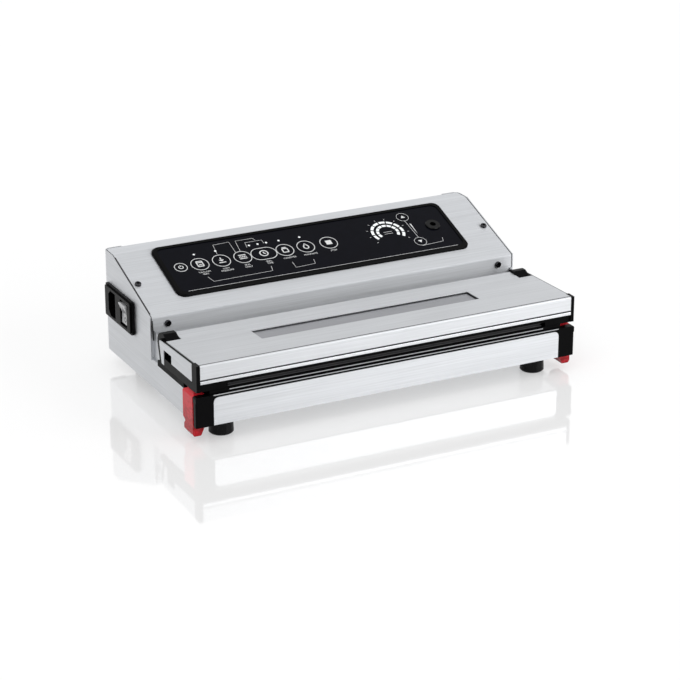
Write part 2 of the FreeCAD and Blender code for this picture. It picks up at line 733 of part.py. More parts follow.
def base_deck():
    """Black moulding under the lid: gasket groove, bar slot, trough, hinge lugs and front apron."""
    half = HALF_LID - 1.0
    front = FRONT + DECK_SETBACK
    wide_back = CHEEK_FRONT - RUN_GAP
    narrow = CHEEK_IN - RUN_GAP
    notch_back = LATCH_BACK + PLASTIC_WALL / 2
    plan = [
        (-DECK_NOTCH_X, front, 1.0), (DECK_NOTCH_X, front, 1.0), (DECK_NOTCH_X, notch_back),
        (half, notch_back, 1.0), (half, wide_back), (narrow, wide_back), (narrow, UPSTAND_BACK),
        (-narrow, UPSTAND_BACK), (-narrow, wide_back), (-half, wide_back), (-half, notch_back, 1.0),
        (-DECK_NOTCH_X, notch_back),
    ]
    deck = prism(plan, xy(SIDE_TOP), Vector(0, 0, DECK_THICKNESS))
    upstand = box(-narrow, narrow, UPSTAND_FRONT, UPSTAND_BACK, SIDE_TOP, LEDGE_Z - SHEET)
    wall = PLASTIC_WALL
    basin = rounded_plate(-TROUGH_X - wall, TROUGH_X + wall, TROUGH_Y0 - wall, TROUGH_Y1 + wall,
                          TROUGH_FLOOR - wall, SIDE_TOP + 1, TROUGH_CORNER + wall)
    boss_top = TROUGH_FLOOR - wall + 0.5
    boss_foot = NOZZLE_Z - HOSE_RADIUS
    boss = rod(HOSE_RADIUS + wall, Vector(SUCTION_X, NOZZLE_Y, boss_foot),
               Vector(SUCTION_X, NOZZLE_Y, boss_top))
    nozzle = rod(HOSE_BORE - SHAFT_GAP, Vector(SUCTION_X, NOZZLE_Y, NOZZLE_Z),
                 Vector(SUCTION_X, TROUGH_Y1 + wall + BARB_LENGTH, NOZZLE_Z))
    collar = rod(2 * SUCTION_RADIUS, Vector(SUCTION_X, NOZZLE_Y, TROUGH_FLOOR - 0.5),
                 Vector(SUCTION_X, NOZZLE_Y, TROUGH_FLOOR + 1.5))
    apron_y = FRONT + FACE_SETBACK
    apron_top = SIDE_TOP + APRON_HEIGHT
    apron_back = FRONT + SHEET + APRON_BACKING
    apron = box(-POST_IN, POST_IN, apron_y, apron_back, FOOT_HEIGHT, apron_top)
    apron = apron.fuse(box(-DECK_NOTCH_X, DECK_NOTCH_X, apron_y, apron_back, SIDE_TOP, apron_top))
    apron = apron.cut(prism(front_face_outline(SEAM), xz(FRONT - SHEET), Vector(0, 2 * SHEET, 0)))
    lug = hinge_lug()
    solid = deck.multiFuse([upstand, basin, boss, nozzle, apron, lug, mirrored(lug)])
    trough = rounded_plate(-TROUGH_X, TROUGH_X, TROUGH_Y0, TROUGH_Y1, TROUGH_FLOOR, DECK_TOP + 1,
                           TROUGH_CORNER)
    groove = ring_plate(CHAMBER_X, CHAMBER_Y0, CHAMBER_Y1, DECK_TOP - GASKET_SINK, DECK_TOP + 1,
                        CHAMBER_CORNER, GASKET_WIDTH)
    slot = box(-BAR_HALF, BAR_HALF, BAR_Y0, BAR_Y1, DECK_TOP - BAR_SINK, DECK_TOP + 1)
    solid = solid.cut(Part.makeCompound([trough, groove, slot])).fuse(collar)
    drop = rod(SUCTION_RADIUS, Vector(SUCTION_X, NOZZLE_Y, NOZZLE_Z), Vector(SUCTION_X, NOZZLE_Y, DECK_TOP))
    draw = rod(BARB_BORE, Vector(SUCTION_X, NOZZLE_Y, NOZZLE_Z), Vector(SUCTION_X, HINGE_Y, NOZZLE_Z))
    return solid.cut(Part.makeCompound([drop.fuse(draw)])).removeSplitter()


def latch_housing():
    """Right front corner block: a pocket in plan round the lever, with the pin's two seats."""
    y0 = FRONT + FACE_SETBACK
    wall_x = POST_IN + PLASTIC_WALL
    cheek = HALF_BODY + LATCH_CHEEK
    plan = [
        (POST_IN, y0), (HALF_FRONT, y0, 1.2), (HALF_FRONT, POST_BACK, 1.2), (wall_x, POST_BACK),
        (wall_x, LATCH_BACK), (cheek, LATCH_BACK, 0.8), (cheek, CHEEK_BACK, 0.8), (POST_IN, CHEEK_BACK),
    ]
    pocket = prism(plan, xy(FOOT_HEIGHT), Vector(0, 0, SIDE_TOP - FOOT_HEIGHT))
    cap_in = DECK_NOTCH_X + RUN_GAP
    cap_top = SIDE_TOP + APRON_HEIGHT
    cap = prism([(cap_in, SIDE_TOP - 4), (HALF_FRONT, SIDE_TOP - 4), (HALF_FRONT, cap_top, 1.6),
                 (cap_in, cap_top)], xz(y0), Vector(0, POST_DEPTH, 0))
    seat = rod(LATCH_PIN_RADIUS, Vector(LATCH_PIN_X, y0 + PLASTIC_WALL, LATCH_PIN_Z),
               Vector(LATCH_PIN_X, CHEEK_BACK + 1, LATCH_PIN_Z))
    return pocket.fuse(cap).cut(seat).removeSplitter()


def latch_lever():
    """Right lever: hook over the lid's catch at the top, bevelled finger tab below the base."""
    bevel_z = LID_BOTTOM - RUN_GAP
    tab_top = FOOT_HEIGHT - 2.5
    front_view = [
        (LEVER_IN, tab_top), (LEVER_IN + 3.6, LEVER_FOOT), (LEVER_OUT - 1.6, LEVER_FOOT),
        (LEVER_OUT, LEVER_FOOT + 2.6), (LEVER_OUT, SIDE_TOP + 0.5, 1.0), (HOOK_OUT, bevel_z),
        (HOOK_OUT, HOOK_TOP, 1.0), (NOSE_IN, HOOK_TOP - 0.8), (NOSE_IN, HOOK_TOP - HOOK_NOSE_HEIGHT),
        (LEVER_IN, HOOK_TOP - HOOK_NOSE_HEIGHT - 0.3),
    ]
    body = prism(front_view, xz(LEVER_FRONT), Vector(0, LEVER_WIDTH, 0))
    waist = LEVER_BACK - 5.0
    tab_back = LEVER_BACK - 2.0
    hook_y0 = LEVER_FRONT + HOOK_INSET
    hook_y1 = LEVER_BACK - HOOK_INSET
    side_view = [
        (LEVER_FRONT, LEVER_FOOT, 1.0), (tab_back - 2.4, LEVER_FOOT), (tab_back, LEVER_FOOT + 2.4),
        (tab_back, tab_top - 1.0), (waist, FOOT_HEIGHT, 0.6), (LEVER_BACK, FOOT_HEIGHT + 2.6),
        (LEVER_BACK, SIDE_TOP + 1.5, 0.8), (hook_y1, SIDE_TOP + 3.0), (hook_y1, HOOK_TOP),
        (hook_y0, HOOK_TOP), (hook_y0, SIDE_TOP + 3.0), (LEVER_FRONT, SIDE_TOP + 1.5, 0.8),
    ]
    body = body.common(prism(side_view, yz(NOSE_IN - 1), Vector(OUT, 0, 0)))
    bore = rod(LATCH_PIN_RADIUS + SHAFT_GAP, Vector(LATCH_PIN_X, LEVER_FRONT - 1, LATCH_PIN_Z),
               Vector(LATCH_PIN_X, LEVER_BACK + 1, LATCH_PIN_Z))
    return body.cut(bore).removeSplitter()


def latch_pins():
    """Steel pins that the two levers turn on."""
    pin = rod(LATCH_PIN_RADIUS, Vector(LATCH_PIN_X, FRONT + FACE_SETBACK + PLASTIC_WALL, LATCH_PIN_Z),
              Vector(LATCH_PIN_X, CHEEK_BACK - SEAM, LATCH_PIN_Z))
    return Part.makeCompound([pin, mirrored(pin)])


def hinge_pins():
    """Steel pins held in the deck's lugs, on which the lid's ears turn."""
    pin = rod(HINGE_PIN_RADIUS, Vector(LUG_IN, HINGE_Y, HINGE_Z),
              Vector(EAR_OUT - PLASTIC_WALL - RUN_GAP, HINGE_Y, HINGE_Z))
    return Part.makeCompound([pin, mirrored(pin)])


def chamber_gasket():
    """Soft ring in the deck's groove, round the trough."""
    return ring_plate(CHAMBER_X, CHAMBER_Y0, CHAMBER_Y1, DECK_TOP - GASKET_SINK, DECK_TOP + GASKET_PROUD,
                      CHAMBER_CORNER, GASKET_WIDTH)


def heating_bar():
    """Insulating bar in the deck's slot, with rounded upper edges."""
    z0 = DECK_TOP - BAR_SINK
    section = [(BAR_Y0, z0), (BAR_Y1, z0), (BAR_Y1, BAR_TOP, 0.8), (BAR_Y0, BAR_TOP, 0.8)]
    return prism(section, yz(-BAR_HALF), Vector(2 * BAR_HALF, 0, 0))


def heating_wire():
    """Flat resistance wire along the top of the bar."""
    middle = (BAR_Y0 + BAR_Y1) / 2
    half = BAR_HALF - 4.0
    return box(-half, half, middle - WIRE_WIDTH / 2, middle + WIRE_WIDTH / 2, BAR_TOP, BAR_TOP + FILM)


def heat_tape():
    """Heat-resistant film over the wire, resting on the bar at both edges."""
    half = BAR_HALF - 2.0
    y0 = BAR_Y0 + 1.2
    y1 = BAR_Y1 - 1.2
    strip = box(-half, half, y0, y1, BAR_TOP, TAPE_TOP)
    return strip.cut(heating_wire())


def rubber_feet():
    """Four turned rubber feet with a screw recess from below."""
    recess = SCREW_HEAD_RADIUS + FOOT_SCREW_GAP
    profile = [(recess, 0), (FOOT_RADIUS - FOOT_BEVEL, 0), (FOOT_RADIUS, FOOT_BEVEL),
               (FOOT_RADIUS - FOOT_BEVEL / 2, FOOT_HEIGHT), (SCREW_SHANK_RADIUS, FOOT_HEIGHT),
               (SCREW_SHANK_RADIUS, FOOT_SCREW_SEAT), (recess, FOOT_SCREW_SEAT)]
    foot = Part.Face(outline(profile, xz(0))).revolve(Vector(0, 0, 0), Vector(0, 0, 1), 360)
    return Part.makeCompound([foot.translated(centre) for centre in foot_places()])


def screw(point, out):
    """Socket-head screw whose head sits on a surface at a point."""
    rim = SCREW_HEAD_HEIGHT - SCREW_HEAD_BEVEL
    head = rod(SCREW_HEAD_RADIUS, point, point + out * rim)
    crown = Part.makeCone(SCREW_HEAD_RADIUS, SCREW_HEAD_RADIUS - SCREW_HEAD_BEVEL, SCREW_HEAD_BEVEL,
                          point + out * rim, out)
    shank = rod(SCREW_SHANK_RADIUS, point - out * SCREW_LENGTH, point)
    turn = Rotation(Vector(0, 0, 1), out)
    corners = [Vector(SCREW_SOCKET_RADIUS, 0, 0)]
    for i in range(1, 7):
        corners.append(Rotation(Vector(0, 0, 1), 60 * i).multVec(corners[0]))
    foot = point + out * (SCREW_HEAD_HEIGHT - SCREW_SOCKET_DEPTH)
    hexagon = Part.Face(Part.makePolygon([foot + turn.multVec(corner) for corner in corners]))
    socket = hexagon.extrude(out * 2 * SCREW_SOCKET_DEPTH)
    return head.multiFuse([crown, shank]).cut(socket).removeSplitter()


def case_screws():
    """Two screws on the slope, two on the lip, and one up through each foot."""
    places = screw_places()
    places += [(centre + Vector(0, 0, FOOT_SCREW_SEAT), Vector(0, 0, -1)) for centre in foot_places()]
    return Part.makeCompound([screw(point, out) for point, out in places])


def panel_outline(inset, n0, n1):
    """Rounded plate of the control panel, set in from its edge, in the slope's own frame."""
    half = PANEL_HALF - inset
    v0 = PANEL_V - PANEL_HEIGHT / 2 + inset
    v1 = PANEL_V + PANEL_HEIGHT / 2 - inset
    return rounded_plate(-half, half, v0, v1, n0, n1, PANEL_RADIUS - inset / 2)


def panel_bezel():
    """Raised black frame round the control panel, with a bevelled outer edge."""
    frame = panel_outline(0, 0, BEZEL_HEIGHT)
    top_edges = [e for e in frame.Edges if all(abs(v.Z - BEZEL_HEIGHT) < 1e-6 for v in e.Vertexes)]
    frame = frame.makeChamfer(1.2, top_edges)
    return on_slope(frame.cut(panel_outline(BEZEL_BORDER, -1, BEZEL_HEIGHT + 1)))


def lamp_shapes(n0, n1):
    """Indicator lamps over the keys, in the slope's own frame."""
    columns = [0, 1, 3, 4, 5]
    xs = [FIRST_KEY_X + i * KEY_PITCH for i in columns]
    middle = FIRST_KEY_X + 3 * KEY_PITCH
    xs += [middle - TIMER_LAMP_PITCH, middle + TIMER_LAMP_PITCH]
    return [slope_disc(x, LAMP_ROW, LAMP_RADIUS, n0, n1) for x in xs]


def gauge_shapes(n0, n1):
    """Arc segments of the ring gauge, in the slope's own frame."""
    step = GAUGE_SWEEP_ANGLE / GAUGE_SEGMENTS
    span = step - GAUGE_SPACE_ANGLE
    centre = Vector(GAUGE_X, GAUGE_V, n0)
    shapes = []
    for outer in (GAUGE_OUTER_RADIUS, GAUGE_INNER_RADIUS):
        for i in range(GAUGE_SEGMENTS):
            start = GAUGE_START_ANGLE - i * step - step
            wedge = Part.makeCylinder(outer, n1 - n0, centre, Vector(0, 0, 1), span)
            core = Part.makeCylinder(outer - GAUGE_BAND, n1 - n0, centre, Vector(0, 0, 1), 360)
            wedge.rotate(centre, Vector(0, 0, 1), start)
            shapes.append(wedge.cut(core))
    return shapes


def panel_overlay():
    """Glossy plate inside the bezel, pierced for the keys, the lamps and the port."""
    plate = panel_outline(BEZEL_BORDER, 0, OVERLAY_HEIGHT)
    cuts = []
    for _, x, v, half, radius in key_places():
        cuts.append(slope_pill(x, v, half, radius + KEY_GAP, -1, OVERLAY_HEIGHT + 1))
    cuts.append(slope_disc(PORT_X, PORT_V, PORT_BODY + KEY_GAP, -1, OVERLAY_HEIGHT + 1))
    lamp_floor = OVERLAY_HEIGHT - LAMP_DEPTH
    cuts += lamp_shapes(lamp_floor, OVERLAY_HEIGHT + 1)
    cuts += gauge_shapes(lamp_floor, OVERLAY_HEIGHT + 1)
    return on_slope(plate.cut(Part.makeCompound(cuts)))


def indicator_lamps():
    """Round lamp windows over the keys."""
    lamps = lamp_shapes(OVERLAY_HEIGHT - LAMP_DEPTH, OVERLAY_HEIGHT + LAMP_PROUD)
    return Part.makeCompound([on_slope(lamp) for lamp in lamps])


def gauge_segments():
    """Lamp windows of the ring gauge."""
    segments = gauge_shapes(OVERLAY_HEIGHT - LAMP_DEPTH, OVERLAY_HEIGHT + LAMP_PROUD)
    return Part.makeCompound([on_slope(segment) for segment in segments])


def key_cap(x, v, half, radius):
    """Low key with a stem down to its switch on the board."""
    top = OVERLAY_HEIGHT + KEY_PROUD
    cap = slope_pill(x, v, half, radius, KEY_LIFT, top)
    rim = [e for e in cap.Edges if all(abs(p.Z - top) < 1e-6 for p in e.Vertexes)]
    cap = cap.makeChamfer(0.4, rim)
    stem = slope_disc(x, v, KEY_STEM_RADIUS, -KEY_STEM_DEPTH, KEY_LIFT + 0.2)
    return on_slope(cap.fuse(stem).removeSplitter())


def accessory_port():
    """Turned socket for an accessory hose, through the overlay and the sheet, with a barb behind."""
    lip = OVERLAY_HEIGHT + PORT_FLANGE_HEIGHT
    bore_foot = lip - PORT_BORE_DEPTH
    barb_foot = -PORT_BODY_DEPTH - BARB_LENGTH
    profile = [
        (PORT_BORE, lip), (PORT_BORE, bore_foot), (BARB_BORE, bore_foot), (BARB_BORE, barb_foot),
        (BARB_RADIUS, barb_foot), (BARB_RADIUS, -PORT_BODY_DEPTH), (PORT_BODY, -PORT_BODY_DEPTH),
        (PORT_BODY, OVERLAY_HEIGHT), (PORT_FLANGE, OVERLAY_HEIGHT), (PORT_FLANGE, lip - 0.6),
        (PORT_FLANGE - 0.6, lip),
    ]
    turned = Part.Face(outline(profile, xz(0))).revolve(Vector(0, 0, 0), Vector(0, 0, 1), 360)
    return on_slope(turned.translated(Vector(PORT_X, PORT_V, 0)))


def board_place():
    """Edges of the control board in the slope's own frame."""
    return (POWER_KEY_X - BOARD_KEY_MARGIN, SIDE_KEY_X + BOARD_KEY_MARGIN,
            BOARD_V - BOARD_HEIGHT / 2, BOARD_V + BOARD_HEIGHT / 2)


def control_board():
    """Circuit board under the slope, with its larger components on the lower face."""
    x0, x1, v0, v1 = board_place()
    n1 = -BOARD_DEPTH
    n0 = n1 - BOARD_THICKNESS
    board = rounded_plate(x0, x1, v0, v1, n0, n1, 2.0)
    x = (x0 + x1) / 2
    half = CHIP_SIZE / 2
    chip = box(x - half, x + half, BOARD_V - half, BOARD_V + half, n0 - CHIP_HEIGHT, n0 + FILM)
    relay_x = x0 + RELAY_INSET
    relay_v = v1 - RELAY_WIDTH - BOARD_POST_INSET
    relay = box(relay_x, relay_x + RELAY_LENGTH, relay_v, relay_v + RELAY_WIDTH, n0 - RELAY_HEIGHT, n0 + FILM)
    can_x = relay_x + RELAY_LENGTH + CAN_PITCH
    can_v = v1 - 3 * CAN_RADIUS
    cans = [slope_disc(can_x + CAN_PITCH * i, can_v, CAN_RADIUS, n0 - CAN_HEIGHT, n0 + FILM)
            for i in range(CAN_COUNT)]
    return on_slope(board.multiFuse([chip, relay] + cans).removeSplitter())


def board_posts():
    """Posts that hang the board from the sheet."""
    x0, x1, v0, v1 = board_place()
    inset = BOARD_POST_INSET
    columns = (x0 + inset, (x0 + x1) / 2, x1 - inset)
    spots = [(x, v) for x in columns for v in (v0 + inset, v1 - inset)]
    posts = [slope_disc(x, v, BOARD_POST_RADIUS, -BOARD_DEPTH, -SHEET) for x, v in spots]
    return Part.makeCompound([on_slope(post) for post in posts])


def key_switches():
    """Push switches on the board, one under each key's stem."""
    half = SWITCH_SIZE / 2
    top = -KEY_STEM_DEPTH - SWITCH_GAP
    switches = []
    for _, x, v, _, _ in key_places():
        case = box(x - half, x + half, v - half, v + half, -BOARD_DEPTH, top - 1.0)
        plunger = slope_disc(x, v, KEY_STEM_RADIUS, top - 1.2, top)
        switches.append(on_slope(case.fuse(plunger).removeSplitter()))
    return Part.makeCompound(switches)


def power_inlet():
    """Black module on the left side: stepped bezel, appliance socket and rocker well."""
    inside = -HALF_BODY
    bezel = prism(inlet_outline(0, 2.0), yz(inside - INLET_PROUD * 0.6), Vector(INLET_PROUD * 0.6, 0, 0))
    step = prism(inlet_outline(1.6, 1.6), yz(INLET_FACE), Vector(INLET_PROUD, 0, 0))
    case = prism(inlet_outline(INLET_STEP + 0.1, 1.0), yz(inside), Vector(INLET_DEPTH, 0, 0))
    module = bezel.multiFuse([step, case])
    z0 = INLET_CENTRE_Z - SOCKET_HEIGHT / 2
    z1 = INLET_CENTRE_Z + SOCKET_HEIGHT / 2
    chamfer = SOCKET_CHAMFER
    socket = prism([(SOCKET_Y0, z0, 1.0), (SOCKET_Y1 - chamfer, z0), (SOCKET_Y1, z0 + chamfer),
                    (SOCKET_Y1, z1 - chamfer), (SOCKET_Y1 - chamfer, z1), (SOCKET_Y0, z1, 1.0)],
                   yz(INLET_FACE), Vector(SOCKET_DEPTH, 0, 0))
    half = ROCKER_HALF + ROCKER_END_GAP
    well = box(INLET_FACE, INLET_FACE + ROCKER_WELL_DEPTH, ROCKER_Y0 - ROCKER_GAP, ROCKER_Y1 + ROCKER_GAP,
               INLET_CENTRE_Z - half, INLET_CENTRE_Z + half)
    pivot = rod(ROCKER_PIVOT_RADIUS + SHAFT_GAP, Vector(ROCKER_PIVOT_X, ROCKER_Y0 - 2, INLET_CENTRE_Z),
                Vector(ROCKER_PIVOT_X, ROCKER_Y1 + 2, INLET_CENTRE_Z))
    return module.cut(Part.makeCompound([socket, well.fuse(pivot)])).removeSplitter()


def inlet_pins():
    """Three flat contacts standing on the socket's floor."""
    floor = INLET_FACE + SOCKET_DEPTH
    middle = (SOCKET_Y0 + SOCKET_Y1) / 2
    pins = []
    for z, y in ((-1, middle - 2), (0, middle + 2), (1, middle - 2)):
        centre = INLET_CENTRE_Z + z * CONTACT_SPREAD
        pins.append(box(floor - CONTACT_LENGTH, floor, y - CONTACT_WIDTH / 2, y + CONTACT_WIDTH / 2,
                        centre - CONTACT_THICKNESS / 2, centre + CONTACT_THICKNESS / 2))
    return Part.makeCompound(pins)


def rocker_switch():
    """Rocker with two sloped faces on a cross pivot, resting with its upper half out."""
    half = ROCKER_HALF
    x = ROCKER_PIVOT_X
    z = INLET_CENTRE_Z
    section = [(x - 5.0, z + half, 0.8), (x - 2.6, z), (x - 5.0, z - half, 0.8),
               (x + 3.0, z - half + 2.6), (x + 6.0, z, 1.5), (x + 3.0, z + half - 2.6)]
    paddle = prism(section, xz(ROCKER_Y0), Vector(0, ROCKER_WIDTH, 0))
    pivot = rod(ROCKER_PIVOT_RADIUS, Vector(x, ROCKER_Y0 - 1.6, z), Vector(x, ROCKER_Y1 + 1.6, z))
    rocker = paddle.fuse(pivot).removeSplitter()
    rocker.rotate(Vector(x, 0, z), Vector(0, 1, 0), -ROCKER_TILT)
    return rocker


def pump_cradle():
    """Sheet saddle on the pan that carries the motor and the crankcase."""
    half = CRADLE_WIDTH / 2
    x0 = MOTOR_X0 + CRADLE_MARGIN
    x1 = CRANKCASE_X1 - CRADLE_PLATE
    plate = box(x0, x1, PUMP_Y - half, PUMP_Y + half, PAN_TOP, PAN_TOP + CRADLE_PLATE)
    saddles = []
    for x in (x0, PUMP_SPLIT_X - CRADLE_MARGIN, x1 - 2 * CRADLE_PLATE):
        saddles.append(box(x, x + 2 * CRADLE_PLATE, PUMP_Y - half, PUMP_Y + half, PAN_TOP, PUMP_Z - 6.0))
    room = rod(MOTOR_RADIUS + CRADLE_GAP, Vector(x0 - 1, PUMP_Y, PUMP_Z),
               Vector(PUMP_SPLIT_X, PUMP_Y, PUMP_Z))
    case_room = rod(CRANKCASE_RADIUS + CRADLE_GAP, Vector(PUMP_SPLIT_X, PUMP_Y, PUMP_Z),
                    Vector(x1 + 1, PUMP_Y, PUMP_Z))
    return plate.multiFuse(saddles).cut(room.fuse(case_room)).removeSplitter()


def pump_motor():
    """Motor can with a stepped end bell and a seat for the shaft."""
    end = MOTOR_X0 - MOTOR_BELL_LENGTH
    can = rod(MOTOR_RADIUS, Vector(MOTOR_X0, PUMP_Y, PUMP_Z), Vector(PUMP_SPLIT_X, PUMP_Y, PUMP_Z))
    bell = rod(MOTOR_BELL_RADIUS, Vector(end, PUMP_Y, PUMP_Z), Vector(MOTOR_X0, PUMP_Y, PUMP_Z))
    seat = rod(SHAFT_RADIUS + SHAFT_GAP, Vector(end - 1, PUMP_Y, PUMP_Z),
               Vector(end + SHAFT_SUNK + 1, PUMP_Y, PUMP_Z))
    return can.fuse(bell).cut(seat).removeSplitter()


def pump_head():
    """Crankcase with two opposed finned cylinders, a suction barb and a valve barb."""
    case = rod(CRANKCASE_RADIUS, Vector(PUMP_SPLIT_X, PUMP_Y, PUMP_Z), Vector(CRANKCASE_X1, PUMP_Y, PUMP_Z))
    x = SUCTION_X
    front = PUMP_Y - CYLINDER_REACH
    pieces = [rod(CYLINDER_RADIUS, Vector(x, front, PUMP_Z), Vector(x, PUMP_Y + CYLINDER_REACH, PUMP_Z))]
    for side in (-1, 1):
        for i in range(FIN_COUNT):
            y = PUMP_Y + side * (CYLINDER_REACH - 1.0 - i * FIN_PITCH)
            pieces.append(rod(FIN_RADIUS, Vector(x, y, PUMP_Z), Vector(x, y - side * FIN_THICKNESS, PUMP_Z)))
    suction = (Vector(x, front - BARB_LENGTH, PUMP_Z), Vector(x, front, PUMP_Z))
    pieces.append(rod(HOSE_BORE - SHAFT_GAP, *suction))
    spout = valve_line(CRANKCASE_X1, CRANKCASE_X1 + BARB_LENGTH)
    pieces.append(rod(HOSE_BORE - SHAFT_GAP, *spout))
    return case.multiFuse(pieces).removeSplitter()


def motor_fan():
    """Cooling fan on the motor's tail shaft."""
    end = MOTOR_X0 - MOTOR_BELL_LENGTH
    x1 = end - FAN_OFFSET
    x0 = x1 - FAN_WIDTH
    shaft = rod(SHAFT_RADIUS, Vector(x0 - 1, PUMP_Y, PUMP_Z), Vector(end + SHAFT_SUNK, PUMP_Y, PUMP_Z))
    hub = rod(FAN_HUB_RADIUS, Vector(x0, PUMP_Y, PUMP_Z), Vector(x1, PUMP_Y, PUMP_Z))
    middle = (x0 + x1) / 2
    half_blade = FAN_WIDTH / 2 / math.cos(math.radians(BLADE_TILT)) - BLADE_THICKNESS / 2
    blades = []
    for i in range(FAN_BLADES):
        blade = box(middle - half_blade, middle + half_blade, PUMP_Y - BLADE_THICKNESS / 2,
                    PUMP_Y + BLADE_THICKNESS / 2, PUMP_Z + FAN_HUB_RADIUS - 1.0, PUMP_Z + FAN_RADIUS)
        blade.rotate(Vector(middle, PUMP_Y, PUMP_Z), Vector(0, 0, 1), BLADE_TILT)
        blade.rotate(Vector(middle, PUMP_Y, PUMP_Z), Vector(1, 0, 0), i * 360.0 / FAN_BLADES)
        blades.append(blade)
    return shaft.multiFuse([hub] + blades).removeSplitter()


def core_place():
    """Box of the transformer's lamination stack."""
    z0 = PAN_TOP + FLANGE_THICKNESS
    return (TRANSFORMER_X - CORE_WIDTH / 2, TRANSFORMER_X + CORE_WIDTH / 2,
            TRANSFORMER_Y - CORE_STACK / 2, TRANSFORMER_Y + CORE_STACK / 2, z0, z0 + CORE_HEIGHT)


def transformer_core():
    """Lamination stack with two windows, on a fixing strap."""
    x0, x1, y0, y1, z0, z1 = core_place()
    side = CORE_LEG / 2
    stack = box(x0, x1, y0, y1, z0, z1)
    inner = CORE_LEG / 2
    left = box(x0 + side, TRANSFORMER_X - inner, y0 - 1, y1 + 1, z0 + side, z1 - side)
    right = box(TRANSFORMER_X + inner, x1 - side, y0 - 1, y1 + 1, z0 + side, z1 - side)
    strap = rounded_plate(x0 - FLANGE_REACH, x1 + FLANGE_REACH, y0 + 3, y1 - 3, PAN_TOP, z0, 3.0)
    holes = [rod(SCREW_SHANK_RADIUS, Vector(x, TRANSFORMER_Y, PAN_TOP - 1), Vector(x, TRANSFORMER_Y, z0 + 1))
             for x in (x0 - FLANGE_REACH / 2, x1 + FLANGE_REACH / 2)]
    return stack.fuse(strap).cut(Part.makeCompound([left, right] + holes)).removeSplitter()


def transformer_coil():
    """Winding round the core's middle leg."""
    x0, x1, y0, y1, z0, z1 = core_place()
    side = CORE_LEG / 2 + COIL_GAP
    z0 += side
    z1 -= side
    winding = rounded_plate(x0 + side, x1 - side, y0 - COIL_OVERHANG, y1 + COIL_OVERHANG, z0, z1, 5.0)
    leg = box(TRANSFORMER_X - side, TRANSFORMER_X + side, y0 - COIL_GAP, y1 + COIL_GAP, z0, z1)
    return winding.cut(leg)


def port_barb_tip():
    """End of the accessory port's barb, and the way it points."""
    tip = SLOPE_FRAME.multVec(Vector(PORT_X, PORT_V, -PORT_BODY_DEPTH - BARB_LENGTH))
    way = SLOPE_FRAME.Rotation.multVec(Vector(0, 0, -1))
    return tip, way


def port_hose_path():
    """Line, arc and line from the accessory port down to the valve."""
    tip, way = port_barb_tip()
    start = tip - way * (BARB_LENGTH - 1.0)
    bend_radius = PORT_HOSE_BEND
    bend = math.radians(SLOPE_ANGLE)
    level = Vector(0, -math.cos(bend), -math.sin(bend))
    centre = tip + level * bend_radius
    middle = centre - Vector(0, -math.cos(bend / 2), -math.sin(bend / 2)) * bend_radius
    end = centre + Vector(0, bend_radius, 0)
    foot = Vector(end.x, end.y, PAN_TOP + VALVE_HEIGHT + VALVE_COIL_HEIGHT + 1.0)
    line_in = Part.LineSegment(start, tip).toShape()
    arc = Part.Arc(tip, middle, end).toShape()
    line_out = Part.LineSegment(end, foot).toShape()
    return Part.Wire([line_in, arc, line_out]), start, way, foot


def valve_line(x0, x1):
    """Two points on the level line from the pump to the valve."""
    _, _, _, foot = port_hose_path()
    return Vector(x0, foot.y, VALVE_BARB_Z), Vector(x1, foot.y, VALVE_BARB_Z)


def tube(path, start, way, outer, bore):
    """Hose with a bore, swept along a path of lines and arcs."""
    skins = []
    for radius in (outer, bore):
        circle = Part.Wire(Part.Circle(start, way, radius).toShape())
        skins.append(path.makePipeShell([circle], True, False))
    return skins[0].cut(skins[1])


def port_hose():
    """Short hose from the accessory port to the valve."""
    path, start, way, _ = port_hose_path()
    return tube(path, start, way, HOSE_RADIUS, HOSE_BORE)


def release_valve():
    """Solenoid valve on the pan: block, coil can and two barbs."""
    _, _, _, foot = port_hose_path()
    x = foot.x
    y = foot.y
    top = PAN_TOP + VALVE_HEIGHT
    block = rounded_plate(x - VALVE_WIDTH / 2, x + VALVE_WIDTH / 2, y - VALVE_DEPTH / 2, y + VALVE_DEPTH / 2,
                          PAN_TOP, top, 2.0)
    coil = rod(VALVE_COIL_RADIUS, Vector(x, y, top), Vector(x, y, top + VALVE_COIL_HEIGHT))
    spout = rod(HOSE_BORE - SHAFT_GAP, Vector(x, y, top), foot + Vector(0, 0, BARB_LENGTH))
    side_x = x - VALVE_WIDTH / 2
    barb = rod(HOSE_BORE - SHAFT_GAP, *valve_line(side_x - BARB_LENGTH, side_x + 1.0))
    return block.multiFuse([coil, spout, barb]).removeSplitter()


def valve_hose():
    """Straight hose between the valve and the pump."""
    start, end = valve_line(CRANKCASE_X1 + 1.0, PORT_X - VALVE_WIDTH / 2 - 1.0)
    return rod(HOSE_RADIUS, start, end).cut(rod(HOSE_BORE, start, end))


